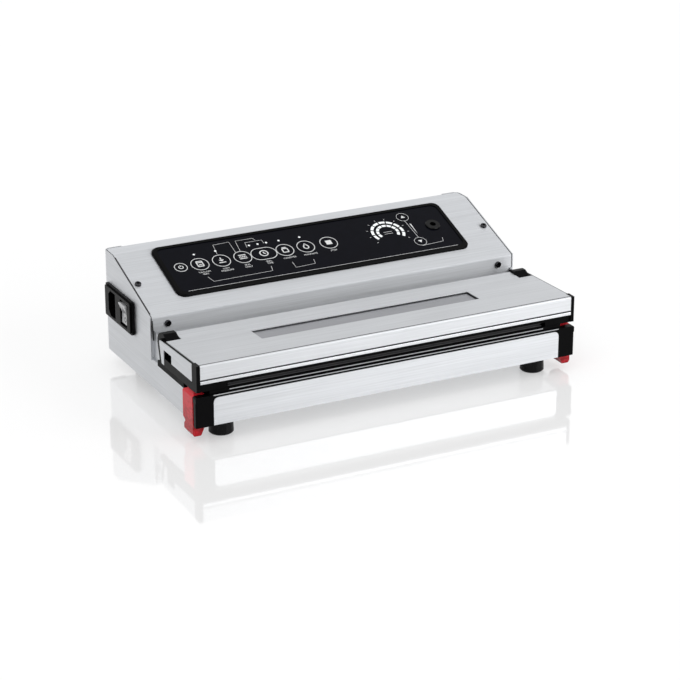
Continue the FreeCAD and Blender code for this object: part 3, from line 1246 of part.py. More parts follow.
def chamber_hose():
    """Hose from the trough's nozzle, rising in two arcs to the pump's suction barb."""
    start = Vector(SUCTION_X, TROUGH_Y1 + PLASTIC_WALL + 1.0, NOZZLE_Z)
    end = Vector(SUCTION_X, PUMP_Y - CYLINDER_REACH - 1.0, PUMP_Z)
    rise = PUMP_Z - NOZZLE_Z
    second = end - Vector(0, BARB_LENGTH, 0)
    run = 2 * CHAMBER_HOSE_SHARE * (second.y - UPSTAND_BACK)
    turn = 2 * math.atan2(rise, run)
    bend_radius = rise / (2 * (1 - math.cos(turn)))
    first = Vector(SUCTION_X, second.y - run, NOZZLE_Z)
    middle = (first + second) / 2
    low = bend_radius * math.sin(turn / 2)
    drop = bend_radius * (1 - math.cos(turn / 2))
    arc_up = Part.Arc(first, first + Vector(0, low, drop), middle).toShape()
    arc_over = Part.Arc(middle, second - Vector(0, low, drop), second).toShape()
    line_in = Part.LineSegment(start, first).toShape()
    line_out = Part.LineSegment(second, end).toShape()
    path = Part.Wire([line_in, arc_up, arc_over, line_out])
    return tube(path, start, Vector(0, 1, 0), HOSE_RADIUS, HOSE_BORE)


def lid_ear():
    """Right hinge ear: round boss on the pin, raised above the lid and ramped down to it."""
    r = EAR_RADIUS
    low = math.radians(60)
    crest = HINGE_Z + r
    root = LID_BACK - EAR_SETBACK
    points = [Vector(0, HINGE_Y, crest), Vector(0, HINGE_Y + r, HINGE_Z),
              Vector(0, HINGE_Y + r * math.cos(low), HINGE_Z - r * math.sin(low))]
    corner = [
        points[2],
        Vector(0, HINGE_Y + SEAM, LID_BOTTOM),
        Vector(0, root, LID_BOTTOM),
        Vector(0, root, lid_inside(root)),
        Vector(0, HINGE_Y - r / 3, crest),
        points[0],
    ]
    edges = [Part.Arc(*points).toShape()]
    edges += [Part.LineSegment(a, b).toShape() for a, b in zip(corner, corner[1:])]
    return Part.Face(Part.Wire(edges)).extrude(Vector(EAR_WIDTH, 0, 0)).translated(Vector(EAR_IN, 0, 0))


def window_place():
    """Edges of the window in the lid's top, across and back from its front edge."""
    half = HALF_BODY - WINDOW_END_INSET
    return -half, half, WINDOW_FRONT, LID_BEND_Y - FRONT - WINDOW_BACK


def lid_section(x0, x1):
    """Solid slice of the lid under its sheet, between two widths."""
    corners = [(LID_FRONT, LID_BOTTOM), (LID_BACK, LID_BOTTOM), (LID_BACK, lid_inside(LID_BACK)),
               (LID_FRONT, lid_inside(LID_FRONT))]
    return prism(corners, yz(x0), Vector(x1 - x0, 0, 0))


def end_plate_outline():
    """Corners of the steel plate on the lid's right end, with its grip notch."""
    y0 = FRONT + LID_POST_DEPTH
    y1 = LID_BACK + PLATE_REACH
    z0 = LID_BOTTOM + BAND_HEIGHT
    foot = LID_BOTTOM + PLATE_DROP
    leg = LID_BACK - PLATE_LEG
    notch_z = z0 + GRIP_NOTCH_RISE
    notch_y = leg - GRIP_NOTCH_WIDTH
    return [(y0, z0), (y0, lid_top(y0) - PLATE_DROP, 1.0), (y1, lid_top(y1) - PLATE_DROP, 2.0),
            (LID_BACK, foot), (leg, foot), (leg, notch_z, 0.8), (notch_y, notch_z, 0.8), (notch_y, z0)]


def lid_end_plate():
    """Steel plate on the lid's right end."""
    return prism(end_plate_outline(), yz(LID_SIDE), Vector(LID_SHEET, 0, 0))


def lid_end_cap():
    """Right end moulding of the lid: hinge ear, corner post, lower band, hook room, catch and grip."""
    block = lid_section(CAP_IN, LID_SIDE)
    leg = LID_BACK - PLATE_LEG
    band_top = LID_BOTTOM + BAND_HEIGHT - FILM
    band = box(LID_SIDE - 1, HALF_LID - 0.1, LID_FRONT, leg - RUN_GAP, LID_BOTTOM, band_top)
    post = box(HALF_LID - LID_CORNER_POST, HALF_LID - 0.1, FRONT + 0.1, FRONT + LID_POST_DEPTH - 0.2,
               LID_BOTTOM + 0.6, LID_TOP - 0.2)
    root = LID_BACK - EAR_SETBACK
    reach = REAR_STRIP_REACH
    skirt = prism([(root, LID_BOTTOM), (HINGE_Y - reach, LID_BOTTOM), (HINGE_Y + reach, HINGE_Z + reach, 1.5),
                   (HINGE_Y - reach, lid_inside(LID_BACK)), (root, lid_inside(root))],
                  yz(EAR_OUT - SHEET), Vector(EAR_SETBACK + SHEET, 0, 0))
    solid = block.multiFuse([lid_ear(), band, post, skirt])
    bore = rod(HINGE_PIN_RADIUS + SHAFT_GAP, Vector(EAR_IN - 1, HINGE_Y, HINGE_Z),
               Vector(EAR_OUT - PLASTIC_WALL, HINGE_Y, HINGE_Z))
    room_top = HOOK_TOP + HOOK_ROOM_RISE
    room_out = LID_SIDE - 1.6
    hook_room = box(CATCH_EDGE, room_out, LEVER_FRONT + 1.5, LEVER_BACK, LID_BOTTOM - 1, room_top)
    catch_room = box(CAP_IN - 1, room_out, LEVER_FRONT + 1.5, LEVER_BACK, CATCH_TOP, room_top)
    grip = box(LID_SIDE - GRIP_NOTCH_SINK, HALF_LID, leg - GRIP_NOTCH_WIDTH, leg, band_top,
               LID_BOTTOM + BAND_HEIGHT + GRIP_NOTCH_RISE)
    for cut in (hook_room.fuse(catch_room), grip, bore):
        solid = solid.cut(cut)
    return solid.removeSplitter()


def lid_moulding():
    """Black middle of the lid between its ends: gasket groove, strip channel, bag slot and ribs."""
    solid = lid_section(-CAP_IN, CAP_IN)
    pocket_x = CAP_IN - PLASTIC_WALL
    front_wall = LID_FRONT + PLASTIC_WALL
    back_wall = LID_BACK - PLASTIC_WALL
    pocket = box(-pocket_x, pocket_x, front_wall, back_wall, LID_POCKET_FLOOR, LID_TOP)
    x0, x1, v0, v1 = window_place()
    margin = INLAY_MARGIN + 0.5
    seat_top = -WINDOW_SINK - LID_SHEET
    seat = on_lid(box(x0 - margin, x1 + margin, v0 - margin, v1 + margin, seat_top - LID_HEIGHT, seat_top))
    well = on_lid(box(x0 + 2, x1 - 2, v0 + 2, v1 - 2, seat_top - LID_HEIGHT, LID_HEIGHT))
    rib_top = lid_inside(LID_BACK)
    ribs = [box(s * x - 1, s * x + 1, front_wall, LID_BACK, LID_POCKET_FLOOR, rib_top)
            for s in (-1, 1) for x in (pocket_x * 0.76, pocket_x * 0.88)]
    pocket = pocket.cut(seat.cut(well).multiFuse(ribs))
    recess_x = CHAMBER_RECESS_X
    recess_front = BAR_Y0 - SEAM
    recess = box(-recess_x, recess_x, recess_front, CHAMBER_Y1 + 2.0, LID_BOTTOM - 1, LID_UNDERSIDE)
    pad = box(-recess_x, recess_x, recess_front, BAR_Y1 + 0.8, LID_BOTTOM + BAG_SLOT_HEIGHT + SEAM,
              LID_UNDERSIDE)
    groove = ring_plate(CHAMBER_X, CHAMBER_Y0, CHAMBER_Y1, LID_UNDERSIDE - 1, LID_UNDERSIDE + 2.0,
                        CHAMBER_CORNER, GASKET_WIDTH)
    slot_half = HALF_BODY - SLOT_END_INSET
    slot = box(-slot_half, slot_half, FRONT, BAR_Y0, LID_BOTTOM - 1, LID_BOTTOM + BAG_SLOT_HEIGHT)
    for cut in (pocket, recess.cut(pad).fuse(slot), groove, silicone_strip()):
        solid = solid.cut(cut)
    return solid.removeSplitter()


def lid_cover():
    """Bright lid sheet: raised rear strip, sloping top with the window, folded front face."""
    half = LID_SIDE - LID_EDGE_GAP
    bend_z = lid_top(LID_BEND_Y)
    path = [
        (HINGE_Y + REAR_STRIP_REACH, bend_z + LID_REAR_RISE),
        (LID_BEND_Y, bend_z, 20.0),
        (FRONT, LID_TOP, 1.6),
        (FRONT, LID_TOP - LID_FACE_HEIGHT),
    ]
    sheet = bent_sheet(path, LID_SHEET, yz(-half), Vector(2 * half, 0, 0))
    x0, x1, v0, v1 = window_place()
    post_x = HALF_LID - LID_CORNER_POST - 0.1
    cuts = [
        on_lid(rounded_plate(x0, x1, v0, v1, -2, 1, 1.0)),
        both_sides(EAR_IN - RUN_GAP, HALF_LID, LID_BEND_Y, HINGE_Y + OUT, LID_BOTTOM, LID_TOP + OUT),
        both_sides(post_x, HALF_LID, FRONT - 1, FRONT + LID_POST_DEPTH, LID_BOTTOM, LID_TOP + 1),
    ]
    return sheet.cut(Part.makeCompound(cuts))


def lid_trim():
    """Bright rounded strip along the lid's front edge."""
    half = HALF_LID - LID_CORNER_POST - 0.1
    z1 = LID_TOP - LID_FACE_HEIGHT - TRIM_GAP
    z0 = z1 - TRIM_HEIGHT
    y0 = FRONT - TRIM_PROUD
    section = [(y0, z0, 0.6), (LID_FRONT, z0), (LID_FRONT, z1), (y0, z1, 0.6)]
    return prism(section, yz(-half), Vector(2 * half, 0, 0))


def lid_inlay():
    """Brushed plate on the floor of the lid's window."""
    x0, x1, v0, v1 = window_place()
    margin = INLAY_MARGIN
    top = -WINDOW_SINK
    return on_lid(rounded_plate(x0 - margin, x1 + margin, v0 - margin, v1 + margin,
                                top - LID_SHEET, top, 1.0))


def lid_gasket():
    """Soft ring in the lid that faces the deck's gasket."""
    return ring_plate(CHAMBER_X, CHAMBER_Y0, CHAMBER_Y1, DECK_TOP + GASKET_PROUD + FILM, LID_UNDERSIDE + 2.0,
                      CHAMBER_CORNER, GASKET_WIDTH)


def silicone_strip():
    """Pressure strip in the lid, over the heating bar."""
    return box(-BAR_HALF, BAR_HALF, BAR_Y0 + SEAM, BAR_Y1 - SEAM, TAPE_TOP + FILM, LID_UNDERSIDE + 1.5)


def all_parts():
    """Every piece of the sealer by its name."""
    lever = latch_lever()
    block = latch_housing()
    plate = lid_end_plate()
    cap = lid_end_cap()
    parts = {
        "side_panel_left": side_panel_left(),
        "side_panel_right": side_panel(),
        "rear_panel": rear_panel(),
        "control_housing": control_housing(),
        "bottom_pan": bottom_pan(),
        "front_panel": front_panel(),
        "base_deck": base_deck(),
        "latch_housing_left": mirrored(block),
        "latch_housing_right": block,
        "latch_lever_left": mirrored(lever),
        "latch_lever_right": lever,
        "latch_pins": latch_pins(),
        "hinge_pins": hinge_pins(),
        "chamber_gasket": chamber_gasket(),
        "heating_bar": heating_bar(),
        "heating_wire": heating_wire(),
        "heat_tape": heat_tape(),
        "rubber_feet": rubber_feet(),
        "case_screws": case_screws(),
        "panel_bezel": panel_bezel(),
        "panel_overlay": panel_overlay(),
        "indicator_lamps": indicator_lamps(),
        "gauge_segments": gauge_segments(),
        "accessory_port": accessory_port(),
        "control_board": control_board(),
        "board_posts": board_posts(),
        "key_switches": key_switches(),
        "power_inlet": power_inlet(),
        "inlet_pins": inlet_pins(),
        "rocker_switch": rocker_switch(),
        "pump_cradle": pump_cradle(),
        "pump_motor": pump_motor(),
        "pump_head": pump_head(),
        "motor_fan": motor_fan(),
        "transformer_core": transformer_core(),
        "transformer_coil": transformer_coil(),
        "release_valve": release_valve(),
        "chamber_hose": chamber_hose(),
        "port_hose": port_hose(),
        "valve_hose": valve_hose(),
        "lid_moulding": lid_moulding(),
        "lid_end_cap_left": mirrored(cap),
        "lid_end_cap_right": cap,
        "lid_cover": lid_cover(),
        "lid_trim": lid_trim(),
        "lid_end_plate_left": mirrored(plate),
        "lid_end_plate_right": plate,
        "lid_inlay": lid_inlay(),
        "lid_gasket": lid_gasket(),
        "silicone_strip": silicone_strip(),
    }
    for name, x, v, half, radius in key_places():
        parts[name] = key_cap(x, v, half, radius)
    return parts


os.makedirs("parts", exist_ok=True)
for node, shape in all_parts().items():
    shape.exportStep("parts/" + node + ".step")
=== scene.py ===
"""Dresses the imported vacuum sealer: finishes, panel print, signs and a small white studio."""
import json
import math

import bmesh
import bpy
from bpy.props import FloatProperty, FloatVectorProperty, IntProperty, PointerProperty
from mathutils import Matrix, Vector


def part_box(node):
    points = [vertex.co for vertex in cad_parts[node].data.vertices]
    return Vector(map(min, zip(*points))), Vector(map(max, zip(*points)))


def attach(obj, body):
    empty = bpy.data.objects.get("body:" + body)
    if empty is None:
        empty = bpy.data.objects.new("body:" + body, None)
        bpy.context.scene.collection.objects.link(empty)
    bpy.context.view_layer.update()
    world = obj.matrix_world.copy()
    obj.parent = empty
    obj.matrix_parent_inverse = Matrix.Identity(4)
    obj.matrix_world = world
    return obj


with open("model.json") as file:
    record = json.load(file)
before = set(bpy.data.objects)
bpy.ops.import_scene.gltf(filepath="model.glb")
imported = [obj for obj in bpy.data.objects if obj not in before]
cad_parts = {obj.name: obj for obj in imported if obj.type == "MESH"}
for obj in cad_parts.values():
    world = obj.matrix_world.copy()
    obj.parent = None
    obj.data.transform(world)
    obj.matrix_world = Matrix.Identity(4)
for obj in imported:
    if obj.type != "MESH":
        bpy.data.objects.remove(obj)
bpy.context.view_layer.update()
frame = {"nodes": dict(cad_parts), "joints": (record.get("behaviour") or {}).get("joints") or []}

bl_info = {
    "name": "Vacuum Sealer Dressing",
    "version": (1, 0, 0),
    "blender": (4, 5, 0),
    "location": "View3D > Sidebar > Sealer",
    "description": "Finishes, panel print, key signs and studio of a table vacuum sealer",
    "category": "Object",
}

MM = 0.001
NODES = frame["nodes"]

# Panel layout in millimetres on the slope: x across, v up the slope from its middle.
KEY_ROW_V = 12.6
RING_KEYS = ("vacuum_seal", "pressure", "seal", "canister", "marinate", "stop")
LINK_LINES = (
    ((-115, -7), (-112, -14.5), (-52, -13.5), (-50.7, -6.7)),
    ((-93, 23), (-91.5, 36.5), (-75, 37), (-75, 21)),
    ((-70, 20), (-68.5, 37), (-50.6, 37), (-49.5, 33.6)),
    ((-28.7, -6.3), (-28.3, -14.5), (-8, -13.5), (-7, -7.4)),
    ((105.8, -14.2), (129, -12.7), (130.7, -7.5)),
    ((-61.4, 25.1), (-60.5, 32.4), (-43.2, 32.4), (-43.0, 27.3)),
    ((106.4, 25.6), (107.8, -0.9)),
)
UP_DOWN_WEDGE = ((109.0, 20.6), (110.4, 19.8), (109.7, 3.4))
# Painted highlight along the film's lower edge, standing in for light off the bezel: it stops this many
# millimetres short of the film's rounded corners.
FILM_HIGHLIGHT_CORNER = 6.0
OVAL_HALF = 4.2
WORD_TOP = 0.7
WORD_STEP = 3.1
KEY_WORDS = {
    "vacuum_seal": ("VACUUM", "SEAL"),
    "pressure": ("LOW", "PRESSURE"),
    "seal": ("SEAL", "ONLY"),
    "seal_time": ("SEAL", "TIME"),
    "canister": ("CANISTER", ""),
    "marinate": ("MARINATE", ""),
    "stop": ("STOP", ""),
}
GAUGE_CENTRE = (82.0, 12.5)
GAUGE_DASHES = (((77.5, 13.9), (86.5, 13.9)), ((77.5, 11.1), (86.5, 11.1)))
GAUGE_START = 215.0
GAUGE_SWEEP = 250.0

# Filled signs of the keys, in millimetres from the key's centre, and the finer stroke of the small key.
SIGN_PLATES = {
    "stop": ((-3.0, -3.0), (3.0, -3.0), (3.0, 3.0), (-3.0, 3.0)),
    "up": ((-2.3, -1.6), (2.3, -1.6), (0, 2.2)),
    "down": ((-2.3, 1.6), (0, -2.2), (2.3, 1.6)),
}
SMALL_SIGN_SHARE = 0.7

# Foot and top of the rocker's two faces in millimetres from its pivot, as (x, z), and the marks on them.
ROCKER_FACES = (((-2.56, -0.45), (-6.80, 9.77)), ((-3.05, -11.5), (-2.56, -0.45)))
ROCKER_BAR_HALF = 2.2
ROCKER_RING_RADIUS = 2.0
ROCKER_MARK_SHARE = 0.8

# Thin lines in millimetres: painted shade along the lid's fold, over its trim and at the control housing's
# left seam, and painted highlights along the deck and the apron.
LID_LINE_SETBACK = 1.9
LID_LINE_END = 0.6
TRIM_LINE_RISE = 0.55
DECK_LINE_Z = 47.0
APRON_LINE_Z = 44.35
SEAM_SLOPE_Y = (3.0, 84.0)
SEAM_LIP_Z = (61.0, 79.0)
SEAM_OUT = 0.1

# Steps by which the CAD faces are felt for, in millimetres, and the ray casts' start, in metres.
FRAME_STEP = 5.0
OPENING_STEP = 0.1
OPENING_LIMIT = 200.0
RAY_START = 1.0

# Turn of a flat frame that faces the front: x across, y up.
FACING_FRONT = Matrix(((1, 0, 0), (0, 0, 1), (0, -1, 0))).transposed().to_4x4()

# Heights in millimetres over which the levers' red is painted as a gradient: deeper red below, lighter red
# above.
LEVER_DEEP_Z = 14.0
LEVER_LIGHT_Z = 40.0

# Patterns: values between which most of a noise lies, the wipe marks' weight beside the streaks of
# brushed steel, and the factor by which the wave texture stretches its coordinates.
NOISE_LOW = 0.3
NOISE_HIGH = 0.7
WIPE_WEIGHT = 0.6
WAVE_FACTOR = 20

# Studio in metres: lamps as name, place, size and the setting that holds their power, the floor with the
# strength of its own light to the camera, and the camera's sensor in millimetres.
LAMPS = (
    ("key_lamp", (-1.7, -1.3, 2.3), 2.2, "key_power"),
    ("fill_lamp", (1.5, -2.0, 1.1), 1.6, "fill_power"),
    ("top_lamp", (-0.6, -0.4, 2.6), 2.0, "top_power"),
)
LAMP_AIM = (0, 0, 0.05)
FLOOR_HALF = 8.0
FLOOR_Z = -0.0003
FLOOR_LIFT = 0.4
SENSOR_MM = 36.0
CLIP_END = 60.0


def linear(hex_colour):
    """Linear RGBA of an sRGB hex colour."""
    values = [int(hex_colour[i:i + 2], 16) / 255 for i in (1, 3, 5)]
    return tuple(v / 12.92 if v <= 0.04045 else ((v + 0.055) / 1.055) ** 2.4 for v in values) + (1.0,)


def tint(label, about, hex_colour):
    """Colour property whose default is an sRGB hex colour."""
    return FloatVectorProperty(name=label, description=about, subtype="COLOR", size=4, min=0.0, max=1.0,
                               default=linear(hex_colour))


def length(label, about, millimetres):
    """Length property with a default in millimetres."""
    return FloatProperty(name=label, description=about, unit="LENGTH", min=0.0, precision=5,
                         default=millimetres * MM)


class SealerFinishes(bpy.types.PropertyGroup):
    """Colours of the sealer's materials"""
    steel: tint("Stainless steel", "Brushed sheet of the case and the lid", "#CFD1D4")
    inlay: tint("Inlay", "Brushed plate sunk in the lid", "#A3A4A8")
    plastic: tint("Black plastic", "Moulded deck, corner blocks and lid ends", "#09090A")
    film: tint("Panel film", "Glossy control panel and keys", "#0B0C14")
    # The levers' red is painted as a gradient with height, from this deep red at the foot to the light red at
    # the top.
    lever: tint("Latch red", "Thick foot of the clear red levers", "#A80512")
    lever_top: tint("Top latch red", "Thin top of the clear red levers", "#EE2F3C")
    print_white: tint("Panel print", "White ink of the panel and its signs", "#F3F4F5")
    # Painted shade: the dark thin lines on the lid and the housing use this colour; the rocker marks are real
    # print.
    print_and_shade_black: tint("Mark print", "Dark ink of the rocker marks and of the dark thin lines", "#1B1B1D")
    lamp: tint("Lamps", "Lamp windows", "#EEF1F2")
    rocker: tint("Rocker", "Grey rocker of the switch", "#D6D7D9")
    rubber: tint("Rubber", "Feet and gaskets", "#101011")
    # Painted highlight: light lines that stand in for light on the front edges of the deck and the apron.
    edge: tint("Painted edge highlight", "Light lines along the edges of the deck and the apron", "#C6C8CB")


class SealerPrint(bpy.types.PropertyGroup):
    """Sizes of the print, the signs and the thin lines"""
    line_width: length("Line width", "Width of the rings round the keys", 0.75)
    # The border drawn at this width is a painted highlight along the film's lower edge.
    fine_width: length("Fine width", "Width of link lines, ticks and the border", 0.42)
    sign_width: length("Sign width", "Stroke width of the key signs", 1.2)
    height: length("Print height", "Thickness of the ink", 0.06)
    ring_radius: length("Ring radius", "Printed ring round a key", 8.5)
    small_ring_radius: length("Small ring radius", "Printed ring round a small key", 6.0)
    word_size: length("Word size", "Height of the words under the keys", 2.9)
    # Painted shade: the lid's dark lines stand in for the shade along the fold, over the trim and in the gap
    # by the inlay.
    lid_line_width: length("Lid line width", "Dark lines along the lid's fold and the inlay", 1.1)
    trim_line_width: length("Trim line width", "Dark line over the lid's trim", 1.6)
    tick_count: IntProperty(name="Ticks", description="Ticks round the gauge", default=10, min=2, max=60)
    tick_radius: length("Tick radius", "Middle of the ticks from the gauge's centre", 20.6)
    tick_length: length("Tick length", "Length of a tick", 1.6)
    # Painted shade: a dark strip in the gap at the housing's left edge, standing in for the shade there.
    seam_width: length("Seam width", "Dark joint along the left edge of the control housing", 1.6)
    # The light edge lines drawn at this width are painted highlights.
    edge_width: length("Edge width", "Light lines along the edges of the deck and the apron", 0.9)
    # Painted highlight: a white line this far above the film's lower edge, standing in for light off the
    # bezel's edge.
    film_highlight_inset: length("Film highlight inset", "Border line from the film's lower edge", 1.0)


class SealerStudio(bpy.types.PropertyGroup):
    """Camera, lamps and floor"""
    lens: FloatProperty(name="Lens", description="Focal length on a 36 mm sensor", unit="CAMERA",
                        default=128.63)
    camera_place: FloatVectorProperty(name="Camera", description="Where the camera stands", subtype="XYZ",
                                      unit="LENGTH", default=(-0.95583, -1.88621, 0.86145))
    camera_way: FloatVectorProperty(name="View", description="Way the camera looks", subtype="DIRECTION",
                                    default=(0.42142, 0.82922, -0.36715))
    key_power: FloatProperty(name="Key", description="Power of the large soft lamp", unit="POWER",
                             default=14.0)
    fill_power: FloatProperty(name="Fill", description="Power of the front lamp", unit="POWER", default=20.0)
    top_power: FloatProperty(name="Top", description="Power of the lamp above", unit="POWER", default=9.0)
    sky: FloatProperty(name="Sky", description="Strength of the white surround", default=0.55, min=0.0)
    floor: tint("Floor", "White gloss floor", "#CDCDCD")


def add(tree, kind, inputs=(), **settings):
    """Add a node, set its properties, and set or link its inputs."""
    made = tree.nodes.new(kind)
    for name, value in settings.items():
        setattr(made, name, value)
    for key, value in dict(inputs).items():
        if isinstance(value, bpy.types.NodeSocket):
            tree.links.new(value, made.inputs[key])
        else:
            made.inputs[key].default_value = value
    return made


def coat(name, **sockets):
    """Material with one shader, whose constant sockets are set by name."""
    made = bpy.data.materials.new(name)
    made.use_nodes = True
    shader = made.node_tree.nodes["Principled BSDF"]
    for key, value in sockets.items():
        shader.inputs[key.replace("_", " ")].default_value = value
    return made, made.node_tree, shader


def grain(tree, cell, detail=4.0, evenness=0.55):
    """Cloudy pattern on the object's own coordinates, with its cell size in millimetres."""
    place = add(tree, "ShaderNodeTexCoord")
    scale = tuple(1 / (MM * size) for size in cell)
    fitted = add(tree, "ShaderNodeMapping", {"Vector": place.outputs["Object"], "Scale": scale})
    noise = add(tree, "ShaderNodeTexNoise", {"Vector": fitted.outputs[0], "Scale": 1.0, "Detail": detail,
                                             "Roughness": evenness})
    return noise.outputs[0]


def shaded(tree, shader, pattern, dark, light, low=0.35, high=0.65):
    """Base colour that runs from dark to light with a pattern."""
    share = add(tree, "ShaderNodeMapRange", {"Value": pattern, "From Min": low, "From Max": high})
    mixed = add(tree, "ShaderNodeMix", {0: share.outputs[0], 6: dark, 7: light}, data_type="RGBA")
    tree.links.new(mixed.outputs[2], shader.inputs["Base Color"])


def gloss(tree, shader, pattern, least, most):
    """Roughness that runs between two values with a pattern."""
    spread = add(tree, "ShaderNodeMapRange", {"Value": pattern, "From Min": NOISE_LOW,
                                              "From Max": NOISE_HIGH, "To Min": least, "To Max": most})
    tree.links.new(spread.outputs[0], shader.inputs["Roughness"])


def relief(tree, shader, pattern, depth, strength=1.0):
    """Fine surface relief from a pattern, with its depth in millimetres."""
    bump = add(tree, "ShaderNodeBump", {"Height": pattern, "Distance": depth * MM, "Strength": strength})
    tree.links.new(bump.outputs[0], shader.inputs["Normal"])


def toned(colour, share):
    """A colour with its light scaled: under 1 darker, over 1 lighter."""
    return tuple(c * share for c in colour[:3]) + (1.0,)


def brushed_steel(name, colour, stroke, least, most):
    """Brushed stainless sheet: long fine streaks, a satin gloss fanned across them and soft wipe marks.

    The real lines are about 0.1 mm apart and are drawn near 1 mm so that they show.
    """
    made, tree, shader = coat(name, Metallic=1.0, Anisotropic=0.75, Anisotropic_Rotation=0.25)
    longest = max(stroke)
    along = add(tree, "ShaderNodeCombineXYZ", {i: float(size == longest) for i, size in enumerate(stroke)})
    tree.links.new(along.outputs[0], shader.inputs["Tangent"])
    streaks = grain(tree, stroke, 5.0, 0.62)
    shaded(tree, shader, streaks, toned(colour, 0.82), colour, NOISE_LOW, NOISE_HIGH)
    wipes = grain(tree, (70, 45, 45), 2.0)
    both = add(tree, "ShaderNodeMath", {0: wipes, 1: WIPE_WEIGHT, 2: streaks}, operation="MULTIPLY_ADD")
    scaled = add(tree, "ShaderNodeMath", {0: both.outputs[0], 1: 1 / (1 + WIPE_WEIGHT)}, operation="MULTIPLY")
    gloss(tree, shader, scaled.outputs[0], least, most)
    relief(tree, shader, streaks, 0.012, 0.5)
    return made


def moulded(name, colour, least, most, cell=0.7, depth=0.02, **sockets):
    """Injection-moulded plastic: an even fine grain from the tool and a slightly uneven gloss."""
    made, tree, shader = coat(name, **sockets)
    texture = grain(tree, (cell, cell, cell), 3.0)
    sheen = grain(tree, (22, 22, 22), 2.0)
    shaded(tree, shader, sheen, toned(colour, 0.8), colour)
    gloss(tree, shader, sheen, least, most)
    relief(tree, shader, texture, depth, 0.6)
    return made


def cast_metal(name, colour, least, most, cell, depth):
    """Bare metal with a grain of its own: cast, ground, drawn or blackened."""
    made, tree, shader = coat(name, Metallic=1.0)
    texture = grain(tree, cell, 4.0)
    shaded(tree, shader, texture, toned(colour, 0.75), colour)
    gloss(tree, shader, texture, least, most)
    relief(tree, shader, texture, depth)
    return made


def wave_scale(pitch):
    """Scale at which the wave texture repeats at a pitch in millimetres."""
    return 2 * math.pi / (WAVE_FACTOR * pitch * MM)


def banded(name, dark, light, pitch, axis, depth, **sockets):
    """Layers or windings side by side: thin parallel bands with a groove between them."""
    made, tree, shader = coat(name, **sockets)
    place = add(tree, "ShaderNodeTexCoord")
    bands = add(tree, "ShaderNodeTexWave", {"Vector": place.outputs["Object"], "Distortion": 0.4,
                                            "Detail": 1.0, "Scale": wave_scale(pitch)},
                wave_type="BANDS", bands_direction=axis)
    shaded(tree, shader, bands.outputs["Fac"], dark, light, 0.2, 0.8)
    relief(tree, shader, bands.outputs["Fac"], depth)
    return made


def clear_red(colour, top_colour):
    """Clear red polycarbonate, moulded, its red painted as a gradient with height: lighter towards the top,
    deeper towards the foot.
    """
    made, tree, shader = coat("clear_red_polycarbonate", Transmission_Weight=0.1, IOR=1.585,
                              Specular_IOR_Level=0.1)
    flow = grain(tree, (6, 6, 3), 3.0)
    place = add(tree, "ShaderNodeTexCoord")
    parts = add(tree, "ShaderNodeSeparateXYZ", {0: place.outputs["Object"]})
    rise = add(tree, "ShaderNodeMapRange", {"Value": parts.outputs["Z"], "From Min": LEVER_DEEP_Z * MM,
                                            "From Max": LEVER_LIGHT_Z * MM, "To Min": 0.0, "To Max": 0.4})
    share = add(tree, "ShaderNodeMath", {0: rise.outputs[0], 1: flow}, operation="ADD")
    shaded(tree, shader, share.outputs[0], colour, top_colour, 0.35, 0.85)
    gloss(tree, shader, flow, 0.05, 0.14)
    relief(tree, shader, flow, 0.12, 0.5)
    return made


def gloss_film(colour):
    """Glossy polyester film over the panel: near black with a wet gloss and a faint waviness."""
    made, tree, shader = coat("gloss_polyester_film", Specular_IOR_Level=0.035)
    waves = grain(tree, (9, 9, 9), 2.0)
    shaded(tree, shader, waves, toned(colour, 0.85), colour)
    gloss(tree, shader, waves, 0.16, 0.26)
    relief(tree, shader, waves, 0.01, 0.3)
    return made


def lamp_window(colour):
    """Frosted lamp window: milky plastic with a little light of its own."""
    made, tree, shader = coat("frosted_lamp_window", Emission_Strength=0.35, Emission_Color=colour)
    frost = grain(tree, (0.8, 0.8, 0.8), 2.0)
    shaded(tree, shader, frost, toned(colour, 0.8), colour)
    gloss(tree, shader, frost, 0.25, 0.45)
    return made


def ink(name, colour):
    """Screen ink: matt, with the faint unevenness of a printed layer."""
    made, tree, shader = coat(name)
    mesh = grain(tree, (0.5, 0.5, 0.5), 2.0)
    shaded(tree, shader, mesh, toned(colour, 0.88), colour)
    gloss(tree, shader, mesh, 0.45, 0.6)
    return made


def sponge(colour):
    """Closed-cell sponge rubber: matt black with small round cells, drawn at 1.4 mm."""
    made, tree, shader = coat("sponge_rubber")
    place = add(tree, "ShaderNodeTexCoord")
    cells = add(tree, "ShaderNodeTexVoronoi", {"Vector": place.outputs["Object"], "Scale": 1 / (1.4 * MM)})
    shaded(tree, shader, cells.outputs["Distance"], toned(colour, 0.6), toned(colour, 2.2), 0.1, 0.7)
    gloss(tree, shader, cells.outputs["Distance"], 0.7, 0.92)
    relief(tree, shader, cells.outputs["Distance"], 0.12)
    return made


def silicone(name, colour):
    """Cast silicone: milky, soft gloss, light bleeding through its edges."""
    made, tree, shader = coat(name, Subsurface_Weight=0.25, Subsurface_Scale=0.004)
    haze = grain(tree, (6, 6, 6), 3.0)
    shaded(tree, shader, haze, toned(colour, 0.9), colour)
    gloss(tree, shader, haze, 0.35, 0.5)
    relief(tree, shader, haze, 0.03, 0.4)
    return made


